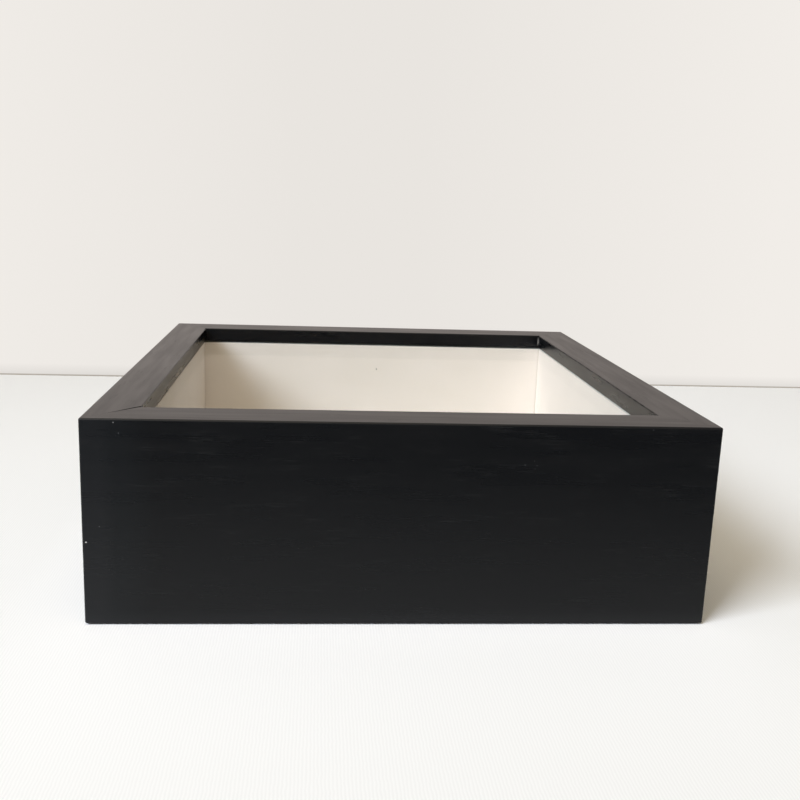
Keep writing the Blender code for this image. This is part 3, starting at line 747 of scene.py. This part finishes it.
for side, turns in RAIL_TURNS.items():
    rail = ring.copy()
    spin = Matrix.Rotation(turns * math.pi / 2, 3, "Z")
    for end in (-1, 1):
        normal = spin @ Vector((end, 1, 0)).normalized()
        saw(rail, spin @ Vector((end * HALF, -HALF, 0)), normal)
        if side == "left" and end == 1:
            slipped = Matrix.Rotation(OPEN_MITRE, 3, "Z") @ normal
            inset = HALF - OPEN_FROM
            saw(rail, spin @ Vector((end * inset, -inset, 0)), slipped)
    make_piece("painted_rail_" + side, rail, [paints[side]], "painted_wood", "frame", "rail_" + side)
ring.free()
print("Rails sawn:", len(RAIL_TURNS))

# %% [markdown]
# ## Glass
#
# The pane is clear picture glass with a coating against reflections, as many shadow boxes have: from
# the photograph's low angle ordinary glass would mirror a third of the wall, and nothing of that is
# seen. So the shader lets nearly everything through, and the share that it mirrors follows Fresnel but
# is cut to a small part. Light on its way to the walls isn't bent, because that would take many more
# samples to find its way. The edges are ground, and hide under the lip.


# %% Make the pane
COATING = 0.06
GLASS_EDGE = 0.0003


def glass_material():
    material, tree = new_material("coated_picture_glass")
    mirrored = add_node(tree, "Fresnel", {"IOR": 1.5}).outputs["Fac"]
    share = add_node(tree, "Math", {"operation": "MULTIPLY", 0: mirrored, 1: COATING}).outputs[0]
    tint = {"Color": linear_colour("FDFEFD"), "Roughness": 0.0, "IOR": 1.5}
    bent = add_node(tree, "BsdfRefraction", tint).outputs[0]
    mirror = add_node(tree, "BsdfAnisotropic", {"Color": linear_colour("FFFFFF"), "Roughness": 0.02})
    pane = add_node(tree, "MixShader", {0: share, 1: bent, 2: mirror.outputs[0]})
    rays = add_node(tree, "LightPath", {}).outputs
    lighting = {"operation": "MAXIMUM", 0: rays["Is Shadow Ray"], 1: rays["Is Diffuse Ray"]}
    lighting = add_node(tree, "Math", lighting).outputs[0]
    clear = add_node(tree, "BsdfTransparent", {"Color": linear_colour("FCFDFC")})
    surface = add_node(tree, "MixShader", {0: lighting, 1: pane.outputs[0], 2: clear.outputs[0]})
    add_node(tree, "OutputMaterial", {"Surface": surface.outputs[0]})
    return material


def make_board(low, high):
    """A plain board between two corners."""
    bm = bmesh.new()
    bmesh.ops.create_cube(bm, size=1)
    bmesh.ops.scale(bm, vec=high - low, verts=bm.verts)
    bmesh.ops.translate(bm, vec=(low + high) / 2, verts=bm.verts)
    return bm


pane = make_board(glass_low, glass_high)
round_edges(pane, pane.edges[:], GLASS_EDGE, segments=1)
make_piece("glass_sheet", pane, [glass_material()], "glass", "frame", "glass_pane")
print("Glass", [round(size * 1000, 1) for size in glass_high - glass_low])

# %% [markdown]
# ## Spacer walls
#
# The walls are foam board: two sheets of smooth white paper with a foam core, cut with a knife. They
# are plain white on their faces, and the core shows only on the cut edges. The paper has a slight tooth
# and the faintest mottling, and the cut foam is a fine froth. The far wall has one small speck and a
# faint line of painted shade in the joint at its right end. The right wall has a whiter copy of the same
# paper, as painted light.


# %% Mix the paper and the foam
MOTTLES_PER_METRE, FIBRES_PER_METRE = 38, 2600
CELLS_PER_METRE = 2200


def paper_material(name, dark, light, tooth, specks_and_painted_shade=()):
    """Paper mottled in patches of about 26 mm, with fibres 0.4 mm apart."""
    material, tree = new_material(name)
    place = add_node(tree, "TexCoord", {}).outputs["Object"]
    patches = {"Vector": place, "Scale": MOTTLES_PER_METRE, "Detail": 4.0, "Roughness": 0.6}
    mottle = add_node(tree, "TexNoise", patches).outputs["Fac"]
    fibre = add_node(tree, "TexNoise", {"Vector": place, "Scale": FIBRES_PER_METRE, "Detail": 2.0})
    stops = [(0.35, dark), (0.65, light)]
    colour = add_node(tree, "ValToRGB", {"Fac": mottle, "Stops": stops}).outputs["Color"]
    colour = add_marks_and_painted_light(tree, place, colour, specks_and_painted_shade)
    bump = {"Height": fibre.outputs["Fac"], "Strength": tooth, "Distance": 0.00005}
    bump = add_node(tree, "Bump", bump).outputs["Normal"]
    matt = {"Base Color": colour, "Roughness": 0.75, "Specular IOR Level": 0.3, "Normal": bump}
    shader = add_node(tree, "BsdfPrincipled", matt)
    add_node(tree, "OutputMaterial", {"Surface": shader.outputs["BSDF"]})
    return material


def foam_material():
    """Cut foam with cells half a millimetre across."""
    material, tree = new_material("cut_polystyrene_foam")
    place = add_node(tree, "TexCoord", {}).outputs["Object"]
    froth = add_node(tree, "TexVoronoi", {"Vector": place, "Scale": CELLS_PER_METRE}).outputs["Distance"]
    stops = [(0.1, "D9D6CF"), (0.6, "F1EFEA")]
    colour = add_node(tree, "ValToRGB", {"Fac": froth, "Stops": stops}).outputs["Color"]
    bump = add_node(tree, "Bump", {"Height": froth, "Strength": 0.8, "Distance": 0.0002}).outputs["Normal"]
    shader = add_node(tree, "BsdfPrincipled", {"Base Color": colour, "Roughness": 0.9, "Normal": bump})
    add_node(tree, "OutputMaterial", {"Surface": shader.outputs["BSDF"]})
    return material


FAR_FACE = -liner_high.y
JOINT_THIN = 0.0003
SPECK = ((0.0018, FAR_FACE, 0.0552), (0.0004, 0.0010, 0.0008), "A8A39B")
# Painted shade: a faint darker line in the joint at the far wall's right end.
PAINTED_JOINT_SHADE = ((FAR_FACE - JOINT_THIN, FAR_FACE, TOP_Z), (JOINT_THIN, 0.0010, 0.1000), "E6DED5")
paper = paper_material("white_board_paper", "F0E7E0", "F4EBE5", 0.35, [SPECK, PAINTED_JOINT_SHADE])
# Painted light: a whiter copy of the same paper for the right wall.
paper_right_painted_light = paper_material("board_paper_with_painted_light", "F5EBE4", "F9EFE8", 0.35)
foam = foam_material()
print("Paper and foam mixed, with", len((SPECK, PAINTED_JOINT_SHADE)), "marks")

# %% Cut the foam board walls
PAPER = 0.0003
CORE_RECESS = 0.00006
CORE_MARGIN = 0.00002


def foam_board(low, high, across):
    """A foam board whose thickness runs along X (0) or Y (1). The core's cut edge lies a hair back."""
    bm = make_board(low, high)
    side = Vector((0, 0, 0))
    side[across] = 1
    for face in (low[across] + PAPER, high[across] - PAPER):
        bmesh.ops.bisect_plane(bm, geom=everything(bm), plane_co=side * face, plane_no=side)
    core = []
    for face in bm.faces:
        middle = face.calc_center_median()[across]
        if low[across] + PAPER < middle < high[across] - PAPER:
            core.append(face)
    bmesh.ops.inset_region(bm, faces=core, thickness=CORE_MARGIN, depth=-CORE_RECESS)
    for face in core:
        face.material_index = 1
    return bm


for side, turns in RAIL_TURNS.items():
    low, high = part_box("liner_" + side)
    wall = foam_board(low, high, 1 if turns % 2 == 0 else 0)
    faced = [paper_right_painted_light if side == "right" else paper, foam]
    make_piece("spacer_wall_" + side, wall, faced, "foam_board", "frame", "liner_" + side)
print("Spacer walls", round((high.z - low.z) * 1000, 1), "mm tall")

# %% [markdown]
# ## Mat and backing
#
# The mat is thick pale grey card, and the back is tempered hardboard: pressed brown fibre, smooth on
# the face that touches the mat and printed with a wire mesh on the face that shows behind. The mesh's
# wires are two waves that cross, 1.7 mm apart.


# %% Lay the mat and the hardboard
CLUMPS_PER_METRE, STAINS_PER_METRE = 260, 22
WIRE_SCALE = 190


def hardboard_material():
    """Brown fibre in clumps 4 mm across, with slow stains, and the wire mesh pressed into it."""
    material, tree = new_material("brown_hardboard")
    place = add_node(tree, "TexCoord", {}).outputs["Object"]
    clumps = {"Vector": place, "Scale": CLUMPS_PER_METRE, "Detail": 6.0, "Roughness": 0.7}
    fibre = add_node(tree, "TexNoise", clumps).outputs["Fac"]
    stains = add_node(tree, "TexNoise", {"Vector": place, "Scale": STAINS_PER_METRE, "Detail": 3.0})
    wires = []
    for axis in ("X", "Y"):
        wave = {"Vector": place, "bands_direction": axis, "Scale": WIRE_SCALE, "Distortion": 0.6}
        wires.append(add_node(tree, "TexWave", wave).outputs["Fac"])
    mesh = add_node(tree, "Math", {"operation": "MULTIPLY", 0: wires[0], 1: wires[1]}).outputs[0]
    mixed = add_node(tree, "MixRGB", {"Fac": 0.35, "Color1": fibre, "Color2": stains.outputs["Fac"]})
    stops = [(0.30, "523620"), (0.50, "6F4C2F"), (0.72, "8B6644")]
    colour = add_node(tree, "ValToRGB", {"Fac": mixed.outputs["Color"], "Stops": stops}).outputs["Color"]
    bump = add_node(tree, "Bump", {"Height": mesh, "Strength": 0.7, "Distance": 0.00025}).outputs["Normal"]
    shader = add_node(tree, "BsdfPrincipled", {"Base Color": colour, "Roughness": 0.68, "Normal": bump})
    add_node(tree, "OutputMaterial", {"Surface": shader.outputs["BSDF"]})
    return material


grey_mat = paper_material("pale_grey_mat_board", "C5BEB2", "CAC3B7", 0.6)
for name, node, material, slot, arris in (
    ("mat_card", "backing_mat", grey_mat, "mat_board", 0.0001),
    ("hardboard_back", "backing_board", hardboard_material(), "hardboard", 0.0003),
):
    board = make_board(*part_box(node))
    round_edges(board, board.edges[:], arris, segments=2)
    make_piece(name, board, [material], slot, "frame", node)
print("Mat and hardboard laid")

# %% [markdown]
# ## Metal and rubber
#
# The fittings are mild steel. The turn buttons, their screws and the V-nails are plated with black
# zinc, which has a soft dark shine with slightly duller patches about 2 mm across. The hanger and its
# nails are brass plated. The bumpers are soft grey rubber, dulled by fine dust.


# %% Plate the steel and mould the rubber
PATCHES_PER_METRE, SCUFFS_PER_METRE, DUST_PER_METRE = 420, 5200, 900
DULLER = 0.12


def plated_material(name, dull, bright, roughness):
    material, tree = new_material(name)
    place = add_node(tree, "TexCoord", {}).outputs["Object"]
    patches = {"Vector": place, "Scale": PATCHES_PER_METRE, "Detail": 4.0, "Roughness": 0.6}
    patches = add_node(tree, "TexNoise", patches).outputs["Fac"]
    scuffs = add_node(tree, "TexNoise", {"Vector": place, "Scale": SCUFFS_PER_METRE, "Detail": 2.0})
    stops = [(0.35, dull), (0.65, bright)]
    colour = add_node(tree, "ValToRGB", {"Fac": patches, "Stops": stops}).outputs["Color"]
    rough = {"From Min": 0.3, "From Max": 0.7, "To Min": roughness + DULLER, "To Max": roughness}
    rough = add_node(tree, "MapRange", {"Value": patches, **rough}).outputs[0]
    bump = {"Height": scuffs.outputs["Fac"], "Strength": 0.25, "Distance": 0.00002}
    bump = add_node(tree, "Bump", bump).outputs["Normal"]
    plated = {"Base Color": colour, "Metallic": 1.0, "Roughness": rough, "Normal": bump}
    shader = add_node(tree, "BsdfPrincipled", plated)
    add_node(tree, "OutputMaterial", {"Surface": shader.outputs["BSDF"]})
    return material


def rubber_material():
    material, tree = new_material("grey_rubber")
    place = add_node(tree, "TexCoord", {}).outputs["Object"]
    dust = {"Vector": place, "Scale": DUST_PER_METRE, "Detail": 4.0}
    dust = add_node(tree, "TexNoise", dust).outputs["Fac"]
    stops = [(0.4, "333334"), (0.75, "474748")]
    colour = add_node(tree, "ValToRGB", {"Fac": dust, "Stops": stops}).outputs["Color"]
    bump = add_node(tree, "Bump", {"Height": dust, "Strength": 0.3, "Distance": 0.00005}).outputs["Normal"]
    shader = add_node(tree, "BsdfPrincipled", {"Base Color": colour, "Roughness": 0.62, "Normal": bump})
    add_node(tree, "OutputMaterial", {"Surface": shader.outputs["BSDF"]})
    return material


zinc = plated_material("black_zinc_plated_steel", "26282B", "3A3D41", 0.32)
brass = plated_material("brass_plated_steel", "B08E4C", "D3B36C", 0.26)
rubber = rubber_material()
print("Metals and rubber ready")

# %% [markdown]
# ## Turn buttons
#
# A turn button is stamped from sheet: a round head with a hole for its screw, and a tapering blade
# whose tip is bent a little away from the board, so it slides over the board's edge. The outline and the
# hole are drawn as two loops, filled, bent and given the sheet's thickness, and the rims are rounded as
# a tumbled stamping's are.


# %% Stamp the turn buttons
BUTTON_SPACING = 0.1080
BUTTON_SHEET = 0.0008
BUTTON_HEAD, BUTTON_TIP, BUTTON_REACH = 0.0048, 0.0031, 0.0190
BUTTON_HOLE = 0.0016
BUTTON_BENDS = ((0.0140, 0.0), (0.0165, 0.00022), (0.0190, 0.0005))
BUTTON_RIM = 0.00012
SEAT = 0.0002


def plate_with_holes(outline, holes):
    """A flat plate at z = 0, its outline and its holes drawn as loops and filled between."""
    bm = bmesh.new()
    edges = loop_of(bm, outline, 0)
    for hole in holes:
        edges += loop_of(bm, hole, 0)
    bmesh.ops.triangle_fill(bm, edges=edges, use_beauty=True, use_dissolve=False)
    return bm


def bend_down(bm, bends):
    """Bends a plate along X through (x, drop) points, after scoring it at each of them."""
    for x, _ in bends:
        bmesh.ops.bisect_plane(bm, geom=everything(bm), plane_co=(x, 0, 0), plane_no=(1, 0, 0))
    for corner in bm.verts:
        for (x0, drop0), (x1, drop1) in zip(bends, bends[1:]):
            if x0 < corner.co.x <= x1 + TINY:
                corner.co.z -= drop0 + (drop1 - drop0) * (corner.co.x - x0) / (x1 - x0)


def thicken(bm, thickness, rim):
    """Gives a plate its thickness downwards and rounds its rims."""
    flat = bm.faces[:]
    grown = bmesh.ops.extrude_face_region(bm, geom=flat, use_keep_orig=True)["geom"]
    lowered = [part for part in grown if isinstance(part, bmesh.types.BMVert)]
    bmesh.ops.translate(bm, vec=(0, 0, -thickness), verts=lowered)
    bmesh.ops.recalc_face_normals(bm, faces=bm.faces)
    round_edges(bm, [edge for edge in bm.edges if is_square(edge)], rim, segments=2)


def make_button():
    middle = BUTTON_REACH - BUTTON_TIP
    taper = math.acos((BUTTON_HEAD - BUTTON_TIP) / middle)
    outline = arc((0, 0), BUTTON_HEAD, taper, 2 * math.pi - taper, steps=30)
    outline += arc((middle, 0), BUTTON_TIP, -taper, taper, steps=16)
    bm = plate_with_holes(outline, [circle(0, BUTTON_HOLE, steps=24)])
    bend_down(bm, BUTTON_BENDS)
    thicken(bm, BUTTON_SHEET, BUTTON_RIM)
    return bm


def rail_place(turns):
    """A rail's own place: its outer edge along X, inwards along +Y, its rear face at z = 0."""
    return Matrix.Rotation(turns * math.pi / 2, 4, "Z") @ Matrix.Translation((0, -HALF, REAR_Z))


BUTTON_NAMES = {
    "bottom": ("left", "right"),
    "right": ("lower", "upper"),
    "top": ("right", "left"),
    "left": ("upper", "lower"),
}
button_places = {}
button = make_button()
for side, names in BUTTON_NAMES.items():
    for end, name in zip((-1, 1), names):
        pivot = Matrix.Translation((end * BUTTON_SPACING / 2, WALL / 2, -SEAT))
        place = rail_place(RAIL_TURNS[side]) @ pivot @ Matrix.Rotation(math.pi / 2, 4, "Z")
        button_places[side + "_" + name] = place
        stamped = button.copy()
        bmesh.ops.transform(stamped, matrix=place, verts=stamped.verts)
        node = "turn_button_" + side + "_" + name
        make_piece("stamped_button_" + side + "_" + name, stamped, [zinc], "zinc_steel", node + "_body", node)
button.free()
print("Turn buttons stamped:", len(button_places))

# %% [markdown]
# ## Screws, nails and V-nails
#
# Each button turns on a pan-head wood screw. The head is a turned dome with a cross pressed into it: the
# dome is scored along the sides of the cross, and the faces inside are pushed down with sloping walls.
# The extrusion leaves its old faces behind as a lid over the cross, so they are deleted.
# The thread is a sharp ridge swept up the shank in a helix that dies away at the point.


# %% Turn the screws and nails
SCREW_HEAD, SCREW_HEAD_HEIGHT = 0.0028, 0.0010
SCREW_CORE, SCREW_LENGTH, SCREW_POINT = 0.0010, 0.0095, 0.0030
SCREW_THREAD, SCREW_PITCH = 0.0013, 0.0011
THREAD_STEPS, THREAD_END = 14, 0.0006
CROSS_SPAN, CROSS_WIDTH, CROSS_DEPTH, CROSS_FLOOR = 0.0026, 0.0007, 0.0006, 0.72
CROWN_Z = -SCREW_HEAD_HEIGHT / 2


def domed_profile(radius, height, shank, length, point, steps):
    """A domed head below z = 0 and a pointed shank above it, from the crown's middle to the point."""
    rim = height * 0.33
    turns = [math.pi / 2 * step / steps for step in range(steps + 1)]
    dome = [(radius * math.sin(turn), -rim - (height - rim) * math.cos(turn)) for turn in turns]
    return dome + [(radius, 0), (shank, 0), (shank, length - point), (0, length)]


def in_cross(x, y):
    arm, half = CROSS_SPAN / 2, CROSS_WIDTH / 2
    return (abs(x) < half and abs(y) < arm) or (abs(y) < half and abs(x) < arm)


def press_cross(bm):
    for distance in (CROSS_WIDTH / 2, CROSS_SPAN / 2):
        for normal in ((1, 0, 0), (-1, 0, 0), (0, 1, 0), (0, -1, 0)):
            crown = [face for face in bm.faces if face.calc_center_median().z < CROWN_Z]
            edges = {edge for face in crown for edge in face.edges}
            near = crown + list(edges) + list({corner for face in crown for corner in face.verts})
            bmesh.ops.bisect_plane(bm, geom=near, plane_co=Vector(normal) * distance, plane_no=normal)
    floor = []
    for face in bm.faces:
        middle = face.calc_center_median()
        if middle.z < CROWN_Z and in_cross(middle.x, middle.y):
            floor.append(face)
    grown = bmesh.ops.extrude_face_region(bm, geom=floor)["geom"]
    bmesh.ops.delete(bm, geom=floor, context="FACES")
    pressed = [part for part in grown if isinstance(part, bmesh.types.BMVert)]
    for corner in pressed:
        corner.co.x *= CROSS_FLOOR
        corner.co.y *= CROSS_FLOOR
        corner.co.z += CROSS_DEPTH


def add_thread(bm):
    """A ridge of three corners, swept up the shank and drawn in at the point."""
    start, end = THREAD_END, SCREW_LENGTH - THREAD_END
    half = SCREW_PITCH * 0.28
    ridge = [
        bm.verts.new((SCREW_CORE * 0.8, 0, start - half)),
        bm.verts.new((SCREW_THREAD, 0, start)),
        bm.verts.new((SCREW_CORE * 0.8, 0, start + half)),
    ]
    edges = [bm.edges.new((ridge[i - 1], ridge[i])) for i in range(3)]
    cap = bm.faces.new(ridge)
    turns = (end - start) / SCREW_PITCH
    steps = int(turns * THREAD_STEPS)
    bmesh.ops.spin(
        bm,
        geom=ridge + edges + [cap],
        cent=(0, 0, 0),
        axis=(0, 0, 1),
        dvec=(0, 0, (end - start) / steps),
        angle=turns * 2 * math.pi,
        steps=steps,
        use_merge=False,
        use_duplicate=False,
    )
    taper_from = SCREW_LENGTH - SCREW_POINT
    for corner in bm.verts:
        reach = math.hypot(corner.co.x, corner.co.y)
        if corner.co.z > taper_from and reach > TINY:
            left = max(SCREW_LENGTH - corner.co.z, 0) / SCREW_POINT
            most = SCREW_THREAD * (0.25 + 0.75 * left) if reach > SCREW_CORE * left * 1.05 else reach
            corner.co.x *= min(1, most / reach)
            corner.co.y *= min(1, most / reach)


def make_screw():
    profile = domed_profile(SCREW_HEAD, SCREW_HEAD_HEIGHT, SCREW_CORE, SCREW_LENGTH, SCREW_POINT, steps=7)
    bm = spun(profile, segments=28)
    press_cross(bm)
    add_thread(bm)
    return bm


screw = make_screw()
for name, place in button_places.items():
    driven = screw.copy()
    below = place @ Matrix.Translation((0, 0, -BUTTON_SHEET - SEAT))
    bmesh.ops.transform(driven, matrix=below, verts=driven.verts)
    make_piece("threaded_screw_" + name, driven, [zinc], "zinc_steel", "frame", "button_screw_" + name)
screw.free()
print("Screws driven:", len(button_places))

# %% [markdown]
# ## V-nails
#
# A V-nail is a short strip of steel folded to a V and driven in from behind across the mitre, so that
# its two wings pull the rails together. Its leading edge is ground sharp, so the V is drawn at three
# heights, thinner at the last, and bridged. It sits almost flush in its pocket.


# %% Drive the V-nails across the mitres
V_WING, V_SHEET, V_DEPTH, V_EDGE = 0.0045, 0.0005, 0.0100, 0.0012
V_ANGLE = math.radians(50)
V_PROUD = 0.00004
V_SHARP = 0.3
V_INWARDS = 0.32


def chevron(thin):
    half = V_SHEET / 2 * thin
    along = Vector((math.cos(V_ANGLE), math.sin(V_ANGLE)))
    across = Vector((-along.y, along.x))
    spine = half / math.sin(V_ANGLE)
    outer, inner = along * V_WING + across * half, along * V_WING - across * half
    lower = [(-spine, 0), (outer.x, -outer.y), (inner.x, -inner.y)]
    return lower + [(spine, 0), (inner.x, inner.y), (outer.x, outer.y)]


def make_v_nail():
    """A folded strip whose leading edge is ground sharp."""
    bm = bmesh.new()
    heights = ((1, -V_PROUD), (1, V_DEPTH - V_EDGE), (V_SHARP, V_DEPTH))
    loops = [loop_of(bm, chevron(thin), z) for thin, z in heights]
    for lower, upper in zip(loops, loops[1:]):
        bmesh.ops.bridge_loops(bm, edges=lower + upper)
    bmesh.ops.contextual_create(bm, geom=loops[0])
    bmesh.ops.contextual_create(bm, geom=loops[-1])
    return bm


CORNERS = {"bottom_left": (-1, -1), "bottom_right": (1, -1), "top_right": (1, 1), "top_left": (-1, 1)}
for corner, (side_x, side_y) in CORNERS.items():
    from_middle = HALF - WALL * V_INWARDS
    facing = Matrix.Rotation(math.atan2(-side_y, -side_x), 4, "Z")
    place = Matrix.Translation((side_x * from_middle, side_y * from_middle, REAR_Z)) @ facing
    v_nail = make_v_nail()
    bmesh.ops.transform(v_nail, matrix=place, verts=v_nail.verts)
    make_piece("folded_v_nail_" + corner, v_nail, [zinc], "zinc_steel", "frame", "v_nail_" + corner)
print("V-nails driven:", len(CORNERS))

# %% [markdown]
# ## Sawtooth hanger
#
# The hanger is a strip of plated steel with a row of teeth along one edge, so that a nail in the wall
# finds a notch that levels the frame. It is cut flat, with its teeth and nail holes, and then bent: two
# tabs lie on the wood and the bridge between them stands a millimetre clear.

# %% Press the hanger and its nails
HANGER_LENGTH, HANGER_WIDTH, HANGER_SHEET = 0.0440, 0.0080, 0.0007
HANGER_TAB, HANGER_SLOPE, HANGER_RISE, HANGER_CORNER = 0.0082, 0.0024, 0.0011, 0.0016
HANGER_RIM = 0.00008
TOOTH_PITCH, TOOTH_DEPTH, TOOTH_COUNT = 0.0020, 0.0016, 11
NAIL_HOLE, NAIL_X = 0.0009, (HANGER_LENGTH - HANGER_TAB) / 2
NAIL_HEAD, NAIL_HEAD_HEIGHT, NAIL_SHANK, NAIL_LENGTH, NAIL_POINT = 0.0016, 0.0006, 0.0006, 0.0090, 0.0015


def hanger_outline():
    end, edge, r = HANGER_LENGTH / 2, HANGER_WIDTH / 2, HANGER_CORNER
    quarter = math.pi / 2
    points = arc((-end + r, -edge + r), r, 2 * quarter, 3 * quarter, steps=5)
    points += arc((end - r, -edge + r), r, 3 * quarter, 4 * quarter, steps=5)
    points += arc((end - r, edge - r), r, 0, quarter, steps=5)
    half_span = TOOTH_PITCH * TOOTH_COUNT / 2
    for notch in range(TOOTH_COUNT):
        right = half_span - notch * TOOTH_PITCH
        points += [(right, edge), (right - TOOTH_PITCH / 2, edge - TOOTH_DEPTH)]
    points.append((-half_span, edge))
    return points + arc((-end + r, edge - r), r, quarter, 2 * quarter, steps=5)


def make_hanger():
    holes = [circle(end * NAIL_X, NAIL_HOLE, steps=18) for end in (-1, 1)]
    bm = plate_with_holes(hanger_outline(), holes)
    near = HANGER_LENGTH / 2 - HANGER_TAB
    far = near - HANGER_SLOPE
    for x in (-near, -far, far, near):
        bmesh.ops.bisect_plane(bm, geom=everything(bm), plane_co=(x, 0, 0), plane_no=(1, 0, 0))
    for corner in bm.verts:
        corner.co.z -= HANGER_RISE * min(1, max(0, (near - abs(corner.co.x)) / HANGER_SLOPE))
    thicken(bm, HANGER_SHEET, HANGER_RIM)
    return bm


hanger_place = rail_place(RAIL_TURNS["top"]) @ Matrix.Translation((0, WALL / 2, -SEAT))
hanger = make_hanger()
bmesh.ops.transform(hanger, matrix=hanger_place, verts=hanger.verts)
make_piece("toothed_hanger", hanger, [brass], "brass_plate", "frame", "sawtooth_hanger")

for name, end in (("right", -1), ("left", 1)):
    profile = domed_profile(NAIL_HEAD, NAIL_HEAD_HEIGHT, NAIL_SHANK, NAIL_LENGTH, NAIL_POINT, steps=6)
    nail = spun(profile, segments=24)
    place = hanger_place @ Matrix.Translation((end * NAIL_X, 0, -HANGER_SHEET - SEAT))
    bmesh.ops.transform(nail, matrix=place, verts=nail.verts)
    make_piece("round_nail_" + name, nail, [brass], "brass_plate", "frame", "hanger_nail_" + name)
print("Hanger and nails pressed")

# %% [markdown]
# ## Bumpers
#
# Four self-adhesive rubber domes keep the fittings off the wall, or off the table here. They are two
# and a half millimetres tall, and all but a thin dark line of that is sunk in the cloth.


# %% Mould the bumpers
DOME_FLAT, DOME_SKIRT = 0.62, 0.32


def make_bumper(low, high):
    radius, height = (high.x - low.x) / 2, high.z - low.z
    flat, skirt = radius * DOME_FLAT, height * DOME_SKIRT
    shoulder = height - skirt
    curve = arc((0, 1), 1, -math.pi / 2, 0, steps=8)
    dome = [(flat + (radius - flat) * out, shoulder * up) for out, up in curve]
    bm = spun([(0, 0)] + dome + [(radius, height), (0, height)], segments=36)
    middle = (low + high) / 2
    bmesh.ops.translate(bm, vec=(middle.x, middle.y, low.z), verts=bm.verts)
    return bm


for corner in CORNERS:
    dome = make_bumper(*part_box("bumper_" + corner))
    make_piece("rubber_dome_" + corner, dome, [rubber], "bumper_rubber", "frame", "bumper_" + corner)
print("Bumpers moulded")

# %% [markdown]
# ## The size
#
# Here the dressed object's bounds are measured. The dressed object must keep the CAD
# model's size.

# %% Measure the bounds
low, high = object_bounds()
